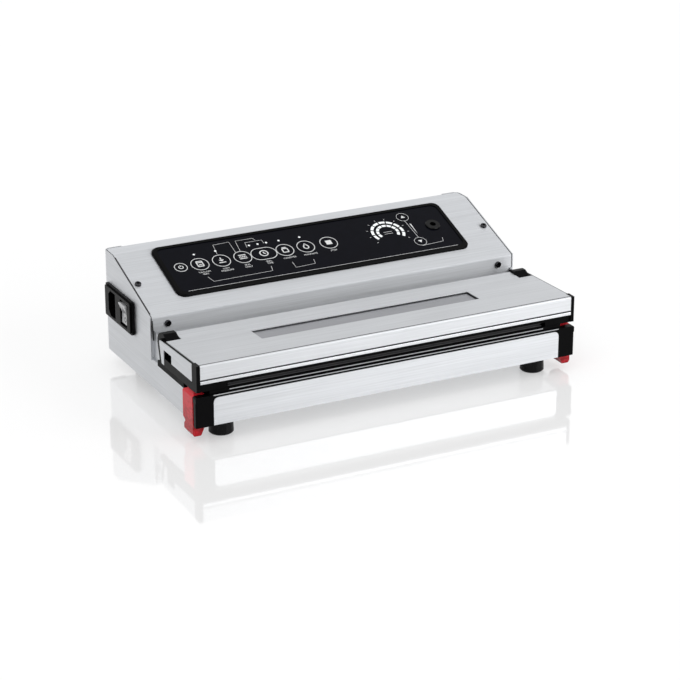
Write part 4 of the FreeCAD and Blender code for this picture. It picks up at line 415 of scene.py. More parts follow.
def glass_cloth_tape():
    """Coated glass-cloth tape: near black, a plain weave of threads, drawn at 1 mm, under a slick film."""
    made, tree, shader = coat("coated_glass_cloth", Coat_Weight=0.3, Coat_Roughness=0.2)
    place = add(tree, "ShaderNodeTexCoord")
    ways = []
    for axis in ("X", "Y"):
        wave = add(tree, "ShaderNodeTexWave", {"Vector": place.outputs["Object"], "Scale": wave_scale(1.0)},
                   wave_type="BANDS", bands_direction=axis)
        ways.append(wave.outputs["Fac"])
    weave = add(tree, "ShaderNodeMath", {0: ways[0], 1: ways[1]}, operation="MAXIMUM")
    shaded(tree, shader, weave.outputs[0], linear("#17181A"), linear("#2C2E30"), 0.2, 0.9)
    gloss(tree, shader, weave.outputs[0], 0.3, 0.5)
    relief(tree, shader, weave.outputs[0], 0.06)
    return made


def circuit_board():
    """Fibre board under green solder mask: darker lanes of copper show through the gloss."""
    made, tree, shader = coat("green_solder_mask", Coat_Weight=0.4, Coat_Roughness=0.1)
    place = add(tree, "ShaderNodeTexCoord")
    lanes = add(tree, "ShaderNodeTexBrick", {"Vector": place.outputs["Object"], "Scale": 1 / (9 * MM),
                                             "Mortar Size": 0.05})
    shaded(tree, shader, lanes.outputs["Fac"], linear("#1E5B37"), linear("#2F7F4E"), 0.0, 1.0)
    gloss(tree, shader, lanes.outputs["Fac"], 0.3, 0.4)
    relief(tree, shader, lanes.outputs["Fac"], 0.035)
    return made


def seen_directly(tree):
    """Output that is 1 for what the camera sees straight, in a mirror or through clear plastic."""
    path = add(tree, "ShaderNodeLightPath")
    seen = path.outputs["Is Camera Ray"]
    for kind in ("Is Glossy Ray", "Is Transmission Ray"):
        seen = add(tree, "ShaderNodeMath", {0: seen, 1: path.outputs[kind]}, operation="MAXIMUM").outputs[0]
    return seen


def white_floor(colour):
    """White gloss acrylic sheet: a soft mirror image under the object, and its shadow."""
    made, tree, shader = coat("white_gloss_acrylic", IOR=2.0)
    haze = grain(tree, (400, 400, 400), 1.0)
    shaded(tree, shader, haze, toned(colour, 0.99), colour)
    gloss(tree, shader, haze, 0.04, 0.07)
    lift = add(tree, "ShaderNodeMath", {0: seen_directly(tree), 1: FLOOR_LIFT}, operation="MULTIPLY")
    shader.inputs["Emission Color"].default_value = (1.0, 1.0, 1.0, 1.0)
    tree.links.new(lift.outputs[0], shader.inputs["Emission Strength"])
    return made


def wear(material, *names):
    """Put a material on CAD nodes."""
    for name in names:
        node = NODES[name]
        if not node.material_slots:
            node.data.materials.append(material)
        for slot in node.material_slots:
            slot.material = material


def piece(name, mesh, body, material):
    """New piece from a mesh that is already in place, riding on a body."""
    if material.name not in mesh.materials:
        mesh.materials.clear()
        mesh.materials.append(material)
    made = bpy.data.objects.new(name, mesh)
    bpy.context.scene.collection.objects.link(made)
    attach(made, body)
    return made


def as_mesh(made):
    """Plain mesh of an object as it shows, and the object gone."""
    bpy.context.view_layer.update()
    shown = made.evaluated_get(bpy.context.evaluated_depsgraph_get())
    mesh = bpy.data.meshes.new_from_object(shown)
    data = made.data
    bpy.data.objects.remove(made)
    if isinstance(data, bpy.types.Mesh):
        bpy.data.meshes.remove(data)
    else:
        bpy.data.curves.remove(data)
    return mesh


def grown(mesh, tree, values):
    """Mesh that a node tree makes from a mesh, with the tree's inputs set by name."""
    source = bpy.data.objects.new("source", mesh)
    bpy.context.scene.collection.objects.link(source)
    modifier = source.modifiers.new("nodes", "NODES")
    modifier.node_group = tree
    for item in tree.interface.items_tree:
        if item.in_out == "INPUT" and item.name in values:
            modifier[item.identifier] = values[item.name]
    return as_mesh(source)


def new_tree(name, *lengths):
    """Empty geometry tree with named length inputs."""
    tree = bpy.data.node_groups.new(name, "GeometryNodeTree")
    tree.interface.new_socket("Geometry", in_out="INPUT", socket_type="NodeSocketGeometry")
    for label in lengths:
        tree.interface.new_socket(label, in_out="INPUT", socket_type="NodeSocketFloat")
    tree.interface.new_socket("Geometry", in_out="OUTPUT", socket_type="NodeSocketGeometry")
    return tree, add(tree, "NodeGroupInput"), add(tree, "NodeGroupOutput")


def end_tree(tree, geometry, material, last):
    """Close a tree with real geometry and its material."""
    real = add(tree, "GeometryNodeRealizeInstances", {"Geometry": geometry})
    painted = add(tree, "GeometryNodeSetMaterial", {"Geometry": real.outputs[0], "Material": material})
    tree.links.new(painted.outputs[0], last.inputs[0])


def ink_line_tree(material):
    """Tree that draws a flat raised strip of ink along every line of a mesh."""
    tree, first, last = new_tree("ink_lines", "Width", "Height")
    curve = add(tree, "GeometryNodeMeshToCurve", {"Mesh": first.outputs["Geometry"]})
    flat = add(tree, "GeometryNodeSetCurveNormal", {"Curve": curve.outputs[0]}, mode="Z_UP")
    strip = add(tree, "GeometryNodeCurvePrimitiveQuadrilateral",
                {"Width": first.outputs["Width"], "Height": first.outputs["Height"]}, mode="RECTANGLE")
    drawn = add(tree, "GeometryNodeCurveToMesh", {"Curve": flat.outputs[0], "Fill Caps": True,
                                                  "Profile Curve": strip.outputs[0]})
    end_tree(tree, drawn.outputs[0], material, last)
    return tree


def tick_tree(material):
    """Tree that sets short ticks round part of a circle, one for each point of a mesh."""
    tree, first, last = new_tree("gauge_ticks", "Radius", "Tick length", "Width", "Height", "Start", "Step")
    index = add(tree, "GeometryNodeInputIndex")
    angle = add(tree, "ShaderNodeMath", {0: index.outputs[0], 1: first.outputs["Step"],
                                         2: first.outputs["Start"]}, operation="MULTIPLY_ADD")
    across = add(tree, "ShaderNodeMath", {0: angle.outputs[0]}, operation="COSINE")
    up = add(tree, "ShaderNodeMath", {0: angle.outputs[0]}, operation="SINE")
    way = add(tree, "ShaderNodeCombineXYZ", {"X": across.outputs[0], "Y": up.outputs[0]})
    spot = add(tree, "ShaderNodeVectorMath", {0: way.outputs[0], "Scale": first.outputs["Radius"]},
               operation="SCALE")
    placed = add(tree, "GeometryNodeSetPosition", {"Geometry": first.outputs["Geometry"],
                                                   "Position": spot.outputs[0]})
    turn = add(tree, "ShaderNodeCombineXYZ", {"Z": angle.outputs[0]})
    size = add(tree, "ShaderNodeCombineXYZ", {"X": first.outputs["Tick length"], "Y": first.outputs["Width"],
                                              "Z": first.outputs["Height"]})
    bar = add(tree, "GeometryNodeMeshCube", {"Size": size.outputs[0]})
    set_out = add(tree, "GeometryNodeInstanceOnPoints", {"Points": placed.outputs[0],
                                                         "Instance": bar.outputs[0],
                                                         "Rotation": turn.outputs[0]})
    end_tree(tree, set_out.outputs[0], material, last)
    return tree


def line_mesh(lines):
    """Mesh of flat lines in millimetres; a line that ends where it starts is closed."""
    mesh = bpy.data.meshes.new("lines")
    points = []
    edges = []
    for line in lines:
        closed = line[0] == line[-1]
        kept = line[:-1] if closed else line
        start = len(points)
        points += [(x * MM, y * MM, 0.0) for x, y in kept]
        edges += [(i, i + 1) for i in range(start, len(points) - 1)]
        if closed:
            edges.append((len(points) - 1, start))
    mesh.from_pydata(points, edges, [])
    return mesh


def arc(x, y, radius, start, end, steps=24):
    """Points of an arc, with its angles in degrees."""
    turns = [math.radians(start + (end - start) * i / steps) for i in range(steps + 1)]
    return [(x + radius * math.cos(t), y + radius * math.sin(t)) for t in turns]


def ring(x, y, radius):
    """Closed circle."""
    points = arc(x, y, radius, 0, 360, 48)
    return points[:-1] + points[:1]


def oval(x, y, half, radius):
    """Closed outline with two round ends."""
    points = arc(x + half, y, radius, -90, 90) + arc(x - half, y, radius, 90, 270)
    return points + points[:1]


def round_box(x0, y0, x1, y1, radius):
    """Closed rectangle with round corners."""
    points = arc(x1 - radius, y0 + radius, radius, -90, 0, 6)
    points += arc(x1 - radius, y1 - radius, radius, 0, 90, 6)
    points += arc(x0 + radius, y1 - radius, radius, 90, 180, 6)
    points += arc(x0 + radius, y0 + radius, radius, 180, 270, 6)
    return points + points[:1]


def slab(corners, height):
    """Flat closed plate from corners in millimetres, standing on the plane."""
    built = bmesh.new()
    low = [built.verts.new((x * MM, y * MM, -height / 2)) for x, y in corners]
    face = built.faces.new(low)
    risen = bmesh.ops.extrude_face_region(built, geom=[face])
    tops = [v for v in risen["geom"] if isinstance(v, bmesh.types.BMVert)]
    bmesh.ops.translate(built, verts=tops, vec=(0, 0, height))
    bmesh.ops.recalc_face_normals(built, faces=built.faces)
    mesh = bpy.data.meshes.new("slab")
    built.to_mesh(mesh)
    built.free()
    return mesh


def words(text, x, y, size, height):
    """Mesh of a short word centred on a point, lying flat."""
    data = bpy.data.curves.new("word", "FONT")
    data.body = text
    data.size = size
    data.align_x = "CENTER"
    data.align_y = "CENTER"
    data.extrude = height / 2
    data.resolution_u = 3
    made = bpy.data.objects.new("word", data)
    bpy.context.scene.collection.objects.link(made)
    mesh = as_mesh(made)
    mesh.transform(Matrix.Translation((x * MM, y * MM, 0)))
    return mesh


def joined(name, meshes, place):
    """One mesh from several flat ones, moved to its place."""
    built = bmesh.new()
    for mesh in meshes:
        built.from_mesh(mesh)
        bpy.data.meshes.remove(mesh)
    bmesh.ops.remove_doubles(built, verts=built.verts, dist=1e-7)
    bmesh.ops.recalc_face_normals(built, faces=built.faces)
    mesh = bpy.data.meshes.new(name)
    built.to_mesh(mesh)
    built.free()
    mesh.transform(place)
    return mesh


def middle(node):
    """Centre of a CAD node's box."""
    low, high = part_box(node)
    return (low + high) / 2


def level(node, way):
    """Highest reach of a CAD node along a direction."""
    return max(way.dot(v.co) for v in NODES[node].data.vertices)


def on_top(node, x, y):
    """Highest point of a CAD node over a place, or nothing where the node is open."""
    hit, spot, _, _ = NODES[node].ray_cast(Vector((x, y, RAY_START)), Vector((0, 0, -1)))
    return spot if hit else None


def on_front(node, z):
    """Foremost point of a CAD node at a height, in the middle of its width."""
    hit, spot, _, _ = NODES[node].ray_cast(Vector((0, -RAY_START, z)), Vector((0, 1, 0)))
    if not hit:
        raise RuntimeError("nothing of " + node + " at this height")
    return spot


def frame_between(near, far):
    """Matrix of a flat frame from one point towards another: x across, y along, z out."""
    across = Vector((1, 0, 0))
    along = (far - near).normalized()
    return Matrix.Translation(near) @ Matrix((across, along, across.cross(along))).transposed().to_4x4()


def slope_axes():
    """Directions across, up and out of the control panel, from the two keys beside the gauge."""
    across = Vector((1, 0, 0))
    up = (middle("key_up") - middle("key_down")).normalized()
    return across, up, across.cross(up)


def slope_middle():
    """Place of the panel's middle along the slope, from the key row."""
    return slope_axes()[1].dot(middle("key_power")) - KEY_ROW_V * MM


def panel_place(node, x=0.0, v=None):
    """Matrix of a flat frame on the panel, level with the top of a node."""
    across, up, out = slope_axes()
    along = slope_middle() if v is None else v
    origin = across * x + up * along + out * level(node, out)
    turn = Matrix((across, up, out)).transposed().to_4x4()
    return Matrix.Translation(origin) @ turn


class SEALER_OT_sheet_metal(bpy.types.Operator):
    """Brushed stainless case, lid sheet, inlay and bright front strip"""
    bl_idname = "sealer.sheet_metal"
    bl_label = "Sheet metal"

    def sheet_frame(self, node, y):
        """Matrix of a flat frame on the top of a lid sheet: x across, then back along the sheet."""
        near, far = [on_top(node, 0.0, y + step * MM) for step in (0.0, FRAME_STEP)]
        return frame_between(near, far)

    def seam_line(self, look, tree, painted_shade):
        """Painted shade in the gap between the left side panel and the control housing: a dark strip up the
        slope and down the lip.
        """
        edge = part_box("control_housing")[0].x
        slope = [on_top("control_housing", edge + MM, y * MM) for y in SEAM_SLOPE_Y]
        lip = [on_front("control_housing", z * MM) for z in SEAM_LIP_Z]
        strips = []
        for near, far in (slope, lip):
            near.x = far.x = edge - SEAM_OUT * MM
            strip = grown(line_mesh([[(0, 0), (0, (far - near).length / MM)]]), tree,
                          {"Width": look.seam_width, "Height": look.height})
            strip.transform(frame_between(near, far))
            strips.append(strip)
        shade_strip = joined("side_seam_line", strips, Matrix.Identity(4))
        piece("side_seam_line", shade_strip, "housing", painted_shade)

    def painted_shade_lines(self, context, colour):
        """Painted shade: dark lines along the lid's fold, over its trim, and in the gap behind and right of
        the inlay, standing in for the shade there.
        """
        look = context.scene.sealer_print
        # Painted shade: a dark matt ink laid where the fold and the gaps fall in shade.
        painted_shade = ink("black_gap_lacquer", colour)
        tree = ink_line_tree(painted_shade)
        low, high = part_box("lid_cover")
        half = high.x / MM - LID_LINE_END
        size = {"Width": look.lid_line_width, "Height": look.height}
        fold = grown(line_mesh([[(-half, 0), (half, 0)]]), tree, size)
        fold.transform(self.sheet_frame("lid_cover", low.y + LID_LINE_SETBACK * MM))
        piece("lid_fold_line", fold, "lid", painted_shade)

        trim_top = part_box("lid_trim")[1].z + TRIM_LINE_RISE * MM
        shade_strip = grown(line_mesh([[(-half, 0), (half, 0)]]), tree,
                     {"Width": look.trim_line_width, "Height": look.height})
        shade_strip.transform(Matrix.Translation((0, low.y, trim_top)) @ FACING_FRONT)
        piece("lid_trim_line", shade_strip, "lid", painted_shade)

        centre = middle("lid_inlay")
        left, right, front, rear = [self.opening_edge(centre, way)
                                    for way in ((-1, 0), (1, 0), (0, -1), (0, 1))]
        inset = look.lid_line_width / MM / 2
        line = [(-left + inset, rear - inset), (right - inset, rear - inset), (right - inset, -front + inset)]
        gap = grown(line_mesh([line]), tree, size)
        gap.transform(Matrix.Translation((centre.x, 0, 0)) @ self.sheet_frame("lid_inlay", centre.y))
        piece("inlay_gap_line", gap, "lid", painted_shade)
        self.seam_line(look, tree, painted_shade)

    def opening_edge(self, centre, way):
        """Millimetres from the inlay's centre to the edge of the lid sheet's opening."""
        reach = 0.0
        while reach < OPENING_LIMIT:
            x, y = centre.x + way[0] * reach * MM, centre.y + way[1] * reach * MM
            cover, inlay = on_top("lid_cover", x, y), on_top("lid_inlay", x, y)
            if inlay is None or (cover is not None and cover.z > inlay.z):
                return reach
            reach += OPENING_STEP
        raise RuntimeError("the lid sheet has no opening over the inlay")

    def execute(self, context):
        finish = context.scene.sealer_finishes
        long_way = brushed_steel("brushed_stainless_lengthways", finish.steel, (90, 1.0, 1.0), 0.38, 0.5)
        side_way = brushed_steel("brushed_stainless_sideways", finish.steel, (1.0, 90, 1.0), 0.38, 0.5)
        inlay = brushed_steel("brushed_stainless_inlay", finish.inlay, (70, 1.2, 1.2), 0.4, 0.52)
        bright = brushed_steel("bright_rolled_stainless", finish.steel, (140, 2.0, 2.0), 0.2, 0.3)
        satin = brushed_steel("satin_stainless_housing", finish.steel, (90, 1.0, 1.0), 0.55, 0.68)
        wear(satin, "control_housing")
        wear(long_way, "front_panel", "lid_cover", "rear_panel", "bottom_pan")
        wear(side_way, "side_panel_left", "side_panel_right", "lid_end_plate_left", "lid_end_plate_right")
        wear(inlay, "lid_inlay")
        wear(bright, "lid_trim")
        self.painted_shade_lines(context, finish.print_and_shade_black)
        return {"FINISHED"}


class SEALER_OT_mouldings(bpy.types.Operator):
    """Black moulded deck, lid middle and ends, corner blocks and panel frame"""
    bl_idname = "sealer.mouldings"
    bl_label = "Black mouldings"

    def edge_highlights(self, context):
        """Painted highlights: light lines along the front edges of the deck and of the apron below it,
        standing in for light on those edges.
        """
        look = context.scene.sealer_print
        # Painted highlight: a light matt ink along the edges.
        painted_highlight = ink("rubbed_plastic_edge", context.scene.sealer_finishes.edge)
        tree = ink_line_tree(painted_highlight)
        for name, end, z in (("deck_edge_line", "heating_bar", DECK_LINE_Z),
                             ("apron_edge_line", "front_panel", APRON_LINE_Z)):
            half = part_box(end)[1].x / MM
            strip = grown(line_mesh([[(-half, 0), (half, 0)]]), tree,
                          {"Width": look.edge_width, "Height": look.height})
            strip.transform(Matrix.Translation(on_front("base_deck", z * MM)) @ FACING_FRONT)
            piece(name, strip, "housing", painted_highlight)

    def execute(self, context):
        colour = context.scene.sealer_finishes.plastic
        self.edge_highlights(context)
        grained = moulded("black_abs_fine_grain", colour, 0.34, 0.48, Specular_IOR_Level=0.035)
        smooth = moulded("black_abs_smooth", colour, 0.16, 0.26, 1.4, 0.008, Specular_IOR_Level=0.035)
        wear(grained, "base_deck", "lid_moulding", "key_switches")
        wear(smooth, "lid_end_cap_left", "lid_end_cap_right", "latch_housing_left", "latch_housing_right",
             "panel_bezel")
        return {"FINISHED"}


class SEALER_OT_latches(bpy.types.Operator):
    """Clear red latch levers on their pins"""
    bl_idname = "sealer.latches"
    bl_label = "Latches"

    def execute(self, context):
        finish = context.scene.sealer_finishes
        red = clear_red(finish.lever, finish.lever_top)
        pins = cast_metal("ground_steel_pin", linear("#B4B6B8"), 0.2, 0.32, (0.6, 8, 0.6), 0.01)
        wear(red, "latch_lever_left", "latch_lever_right")
        wear(pins, "latch_pins", "hinge_pins")
        return {"FINISHED"}


class SEALER_OT_control_panel(bpy.types.Operator):
    """Glossy panel, keys, lamp windows, ring gauge and accessory port"""
    bl_idname = "sealer.control_panel"
    bl_label = "Control panel"

    def execute(self, context):
        finish = context.scene.sealer_finishes
        film = gloss_film(finish.film)
        keys = [name for name in NODES if name.startswith("key_") and name != "key_switches"]
        wear(film, "panel_overlay", *keys)
        wear(lamp_window(finish.lamp), "indicator_lamps", "gauge_segments")
        wear(moulded("black_acetal_turned", finish.plastic, 0.14, 0.24, 0.9, 0.01, Specular_IOR_Level=0.14),
             "accessory_port")
        return {"FINISHED"}


class SEALER_OT_panel_print(bpy.types.Operator):
    """White print on the panel: rings, link lines, words and gauge ticks, and a painted highlight along the
    film's lower edge
    """
    bl_idname = "sealer.panel_print"
    bl_label = "Panel print"

    def execute(self, context):
        look = context.scene.sealer_print
        white = ink("white_screen_ink", context.scene.sealer_finishes.print_white)
        mm = 1 / MM
        lines = []
        for name in RING_KEYS:
            lines.append(ring(middle("key_" + name).x * mm, KEY_ROW_V, look.ring_radius * mm))
        lines.append(oval(middle("key_seal_time").x * mm, KEY_ROW_V, OVAL_HALF, look.ring_radius * mm))
        lines.append(ring(middle("key_power").x * mm, KEY_ROW_V, look.small_ring_radius * mm))
        fine = list(LINK_LINES + GAUGE_DASHES)
        up = slope_axes()[1]
        base = slope_middle()
        for name in ("key_up", "key_down"):
            spot = middle(name)
            fine.append(ring(spot.x * mm, (up.dot(spot) - base) * mm, look.small_ring_radius * mm))
        # Painted highlight: a white line along the film's lower edge, drawn with the fine print, standing in
        # for light off the bezel.
        spots = [v.co for v in NODES["panel_overlay"].data.vertices]
        inset = look.film_highlight_inset * mm
        half = max(c.x for c in spots) * mm - inset - FILM_HIGHLIGHT_CORNER
        low = (min(up.dot(c) for c in spots) - base) * mm + inset
        fine.append(((-half, low), (half, low)))
        tree = ink_line_tree(white)
        meshes = [grown(line_mesh(set_of), tree, {"Width": width, "Height": look.height})
                  for set_of, width in ((lines, look.line_width), (fine, look.fine_width))]
        meshes.append(slab(UP_DOWN_WEDGE, look.height))
        for name, pair in KEY_WORDS.items():
            x = middle("key_" + name).x * mm
            for row, text in enumerate(pair):
                if text:
                    meshes.append(words(text, x, WORD_TOP - WORD_STEP * row, look.word_size, look.height))
        place = panel_place("panel_overlay")
        piece("panel_print", joined("panel_print", meshes, place), "housing", white)

        dots = bpy.data.meshes.new("ticks")
        dots.from_pydata([(0, 0, 0)] * look.tick_count, [], [])
        step = -math.radians(GAUGE_SWEEP) / (look.tick_count - 1)
        ticks = grown(dots, tick_tree(white),
                      {"Radius": look.tick_radius, "Tick length": look.tick_length, "Width": look.fine_width,
                       "Height": look.height, "Start": math.radians(GAUGE_START), "Step": step})
        ticks.transform(Matrix.Translation((GAUGE_CENTRE[0] * MM, GAUGE_CENTRE[1] * MM, 0)))
        piece("gauge_print", joined("gauge_print", [ticks], place), "housing", white)
        return {"FINISHED"}


class SEALER_OT_key_signs(bpy.types.Operator):
    """White sign on each key, moving with the key"""
    bl_idname = "sealer.key_signs"
    bl_label = "Key signs"

    def strokes(self):
        """Strokes of each drawn sign, in millimetres from the key's centre."""
        drop = [(0, 4.0), (-1.5, 1.2)] + arc(0, -1.0, 2.5, 160, 380) + [(1.5, 1.2), (0, 4.0)]
        zigzag = [(-3.6 + 1.2 * i, 0.9 if i % 2 else -0.9) for i in range(7)]
        return {
            "power": [arc(0, -0.2, 2.1, 125, 415), [(0, 0.4), (0, 2.9)]],
            "vacuum_seal": [round_box(-2.8, -3.7, 2.8, 3.7, 0.6), [(-2.8, 1.9), (2.8, 1.9)],
                            [(-1.4, -2.2), (0, -0.6), (1.4, -2.2)]],
            "pressure": [[(0, 4.0), (0, -1.2)], [(-2.0, 0.9), (0, -1.3), (2.0, 0.9)],
                         [(-3.4, -3.2), (3.4, -3.2)]],
            "seal": [[(-3.8, 2.6), (3.8, 2.6)], zigzag, [(-3.8, -2.6), (3.8, -2.6)]],
            "seal_time": [ring(0, 0, 3.9), [(0, 2.2), (0, 0), (1.7, -0.9)]],
            "canister": [round_box(-2.7, -3.7, 2.7, 1.7, 0.7), [(-2.2, 3.2), (2.2, 3.2)]],
            "marinate": [drop],
        }

    def execute(self, context):
        look = context.scene.sealer_print
        white = ink("white_screen_ink", context.scene.sealer_finishes.print_white)
        tree = ink_line_tree(white)
        signs = {}
        for name, lines in self.strokes().items():
            width = look.sign_width * (SMALL_SIGN_SHARE if name == "power" else 1)
            signs[name] = grown(line_mesh(lines), tree, {"Width": width, "Height": look.height})
        for name, corners in SIGN_PLATES.items():
            signs[name] = slab(corners, look.height)
        up = slope_axes()[1]
        for name, sign in signs.items():
            node = "key_" + name
            centre = middle(node)
            place = panel_place(node, centre.x, up.dot(centre))
            mesh = joined(node + "_sign", [sign], place)
            piece(node + "_sign", mesh, node + "_body", white)
        return {"FINISHED"}


class SEALER_OT_inlet(bpy.types.Operator):
    """Power inlet with its contacts, and the rocker with its two marks"""
    bl_idname = "sealer.inlet"
    bl_label = "Power inlet"

    def execute(self, context):
        finish = context.scene.sealer_finishes
        wear(moulded("black_nylon_inlet", finish.plastic, 0.24, 0.36, 0.8, 0.015, Specular_IOR_Level=0.05),
             "power_inlet")
        wear(cast_metal("plated_brass_contact", linear("#C9B68A"), 0.2, 0.3, (6, 0.8, 0.8), 0.01),
             "inlet_pins")
        wear(moulded("gloss_grey_rocker", finish.rocker, 0.1, 0.2, 1.2, 0.006), "rocker_switch")
        dark = ink("black_pad_ink", finish.print_and_shade_black)
        look = context.scene.sealer_print
        tree = ink_line_tree(dark)
        size = {"Width": look.sign_width * ROCKER_MARK_SHARE, "Height": look.height}
        marks = [grown(line_mesh([[(0, -ROCKER_BAR_HALF), (0, ROCKER_BAR_HALF)]]), tree, size),
                 grown(line_mesh([ring(0, 0, ROCKER_RING_RADIUS)]), tree, size)]
        pivot = Vector(next(j["pos_m"] for j in frame["joints"] if j["name"] == "rocker_pivot"))
        across = Vector((0, -1, 0))
        for mark, (low, high) in zip(marks, ROCKER_FACES):
            rise = Vector((high[0] - low[0], 0, high[1] - low[1])).normalized()
            centre = Vector(((low[0] + high[0]) / 2, 0, (low[1] + high[1]) / 2)) * MM
            turn = Matrix((across, rise, across.cross(rise))).transposed().to_4x4()
            mark.transform(Matrix.Translation(pivot + centre) @ turn)
        both = joined("rocker_marks", marks, Matrix.Identity(4))
        piece("rocker_marks", both, "rocker", dark)
        return {"FINISHED"}


class SEALER_OT_chamber(bpy.types.Operator):
    """Gaskets, heating bar, wire, tape and pressure strip"""
    bl_idname = "sealer.chamber"
    bl_label = "Vacuum chamber"

    def execute(self, context):
        wear(sponge(context.scene.sealer_finishes.rubber), "chamber_gasket", "lid_gasket")
        wear(banded("dark_glass_laminate", linear("#26272A"), linear("#36373A"), 1.2, "Z", 0.01,
                    Roughness=0.4), "heating_bar")
        wear(cast_metal("resistance_ribbon", linear("#9A958C"), 0.3, 0.4, (20, 0.5, 0.5), 0.01),
             "heating_wire")
        wear(glass_cloth_tape(), "heat_tape")
        wear(silicone("black_silicone", linear("#262628")), "silicone_strip")
        return {"FINISHED"}


class SEALER_OT_works(bpy.types.Operator):
    """Pump, motor, fan, transformer, board, valve and hoses inside the case"""
    bl_idname = "sealer.works"
    bl_label = "Works inside"

    def execute(self, context):
        wear(moulded("grey_motor_enamel", linear("#4A4E54"), 0.28, 0.4, 2.5, 0.02, Coat_Weight=0.3),
             "pump_motor", "pump_cradle")
        wear(cast_metal("die_cast_aluminium", linear("#A6A8AA"), 0.42, 0.6, (1.2, 1.2, 1.2), 0.05),
             "pump_head")
        wear(moulded("white_nylon_fan", linear("#DAD8D0"), 0.4, 0.55, 1.0, 0.02), "motor_fan")
        wear(banded("core_laminations", linear("#2B2D30"), linear("#55585D"), 1.3, "Y", 0.05,
                    Metallic=0.7, Roughness=0.45), "transformer_core")
        wear(banded("enamelled_copper_wire", linear("#6B3214"), linear("#B5652F"), 1.0, "Z", 0.15,
                    Metallic=0.8, Roughness=0.3), "transformer_coil")
        wear(circuit_board(), "control_board")
        wear(cast_metal("turned_brass", linear("#C7A24E"), 0.2, 0.32, (0.5, 0.5, 6), 0.01), "board_posts",
             "release_valve")
        wear(silicone("clear_silicone_hose", linear("#D6D4CC")), "chamber_hose", "port_hose", "valve_hose")
        return {"FINISHED"}


class SEALER_OT_feet_and_screws(bpy.types.Operator):
    """Rubber feet and blackened socket screws"""
    bl_idname = "sealer.feet_and_screws"
    bl_label = "Feet and screws"

    def execute(self, context):
        rubber = context.scene.sealer_finishes.rubber
        wear(moulded("black_rubber_foot", rubber, 0.2, 0.34, 1.2, 0.015, Specular_IOR_Level=0.1),
             "rubber_feet")
        wear(cast_metal("blackened_screw_steel", linear("#3C3C3F"), 0.15, 0.26, (0.5, 0.5, 0.5), 0.01),
             "case_screws")
        return {"FINISHED"}


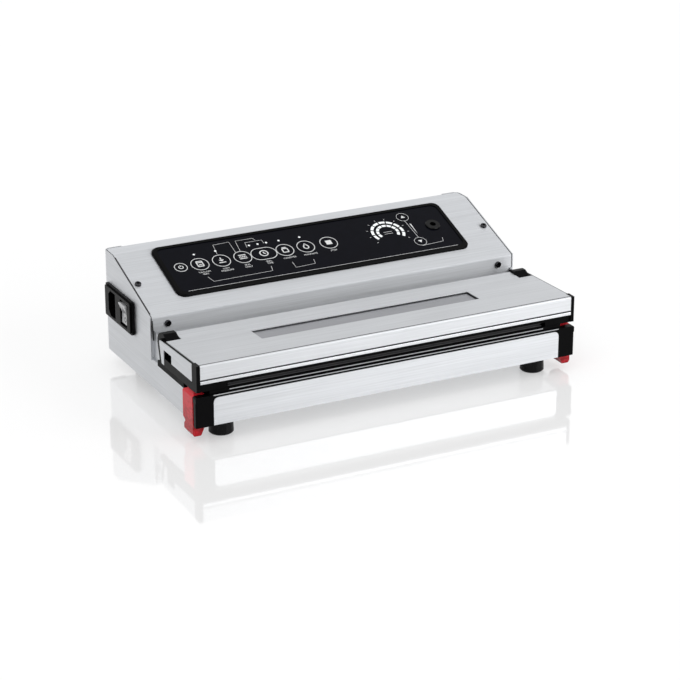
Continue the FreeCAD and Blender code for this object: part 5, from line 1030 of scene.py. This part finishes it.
class SEALER_OT_studio(bpy.types.Operator):
    """White gloss floor, soft lamps, white surround and the camera"""
    bl_idname = "sealer.studio"
    bl_label = "Studio"

    def lamp(self, name, place, power, size):
        """Square soft lamp that looks at the object."""
        data = bpy.data.lights.new(name, "AREA")
        data.energy = power
        data.size = size
        made = bpy.data.objects.new(name, data)
        made.location = place
        made.rotation_euler = (Vector(LAMP_AIM) - Vector(place)).to_track_quat("-Z", "Y").to_euler()
        bpy.context.scene.collection.objects.link(made)

    def surround(self, strength):
        """White world, at full white to the camera and to reflections."""
        world = bpy.data.worlds.new("white_surround")
        bpy.context.scene.world = world
        world.use_nodes = True
        tree = world.node_tree
        level_of = add(tree, "ShaderNodeMapRange", {"Value": seen_directly(tree), "To Min": strength,
                                                    "To Max": 1.0})
        sky = tree.nodes["Background"]
        sky.inputs["Color"].default_value = (1.0, 1.0, 1.0, 1.0)
        tree.links.new(level_of.outputs[0], sky.inputs["Strength"])

    def execute(self, context):
        scene = context.scene
        studio = scene.sealer_studio
        scene.view_settings.view_transform = "Standard"
        mesh = bpy.data.meshes.new("floor")
        corners = [(x * FLOOR_HALF, y * FLOOR_HALF, FLOOR_Z) for x, y in ((-1, -1), (1, -1), (1, 1), (-1, 1))]
        mesh.from_pydata(corners, [], [(0, 1, 2, 3)])
        mesh.materials.append(white_floor(studio.floor))
        floor = bpy.data.objects.new("floor", mesh)
        scene.collection.objects.link(floor)
        for name, place, size, power in LAMPS:
            self.lamp(name, place, getattr(studio, power), size)
        self.surround(studio.sky)
        data = bpy.data.cameras.new("camera")
        data.lens = studio.lens
        data.sensor_width = SENSOR_MM
        data.clip_end = CLIP_END
        camera = bpy.data.objects.new("camera", data)
        camera.location = studio.camera_place
        camera.rotation_euler = Vector(studio.camera_way).to_track_quat("-Z", "Y").to_euler()
        scene.collection.objects.link(camera)
        scene.camera = camera
        return {"FINISHED"}


OPERATORS = (
    SEALER_OT_sheet_metal,
    SEALER_OT_mouldings,
    SEALER_OT_latches,
    SEALER_OT_control_panel,
    SEALER_OT_panel_print,
    SEALER_OT_key_signs,
    SEALER_OT_inlet,
    SEALER_OT_chamber,
    SEALER_OT_works,
    SEALER_OT_feet_and_screws,
    SEALER_OT_studio,
)


class VIEW3D_PT_sealer(bpy.types.Panel):
    """Sidebar panel of the sealer's dressing"""
    bl_label = "Vacuum sealer"
    bl_idname = "VIEW3D_PT_sealer"
    bl_space_type = "VIEW_3D"
    bl_region_type = "UI"
    bl_category = "Sealer"

    def draw(self, context):
        layout = self.layout
        for group in (context.scene.sealer_finishes, context.scene.sealer_print, context.scene.sealer_studio):
            column = layout.column(align=True)
            for name in group.__annotations__:
                column.prop(group, name)
        for operator in OPERATORS:
            layout.operator(operator.bl_idname)


CLASSES = (SealerFinishes, SealerPrint, SealerStudio) + OPERATORS + (VIEW3D_PT_sealer,)


def register():
    """Make the classes and the scene's settings known."""
    for cls in CLASSES:
        bpy.utils.register_class(cls)
    bpy.types.Scene.sealer_finishes = PointerProperty(type=SealerFinishes)
    bpy.types.Scene.sealer_print = PointerProperty(type=SealerPrint)
    bpy.types.Scene.sealer_studio = PointerProperty(type=SealerStudio)


def unregister():
    """Take the settings and the classes away again."""
    del bpy.types.Scene.sealer_studio
    del bpy.types.Scene.sealer_print
    del bpy.types.Scene.sealer_finishes
    for cls in reversed(CLASSES):
        bpy.utils.unregister_class(cls)


def main():
    """Dress the sealer piece by piece and set the studio."""
    register()
    bpy.ops.sealer.sheet_metal()
    bpy.ops.sealer.mouldings()
    bpy.ops.sealer.latches()
    bpy.ops.sealer.control_panel()
    bpy.ops.sealer.panel_print()
    bpy.ops.sealer.key_signs()
    bpy.ops.sealer.inlet()
    bpy.ops.sealer.chamber()
    bpy.ops.sealer.works()
    bpy.ops.sealer.feet_and_screws()
    bpy.ops.sealer.studio()


if __name__ == "__main__":
    main()
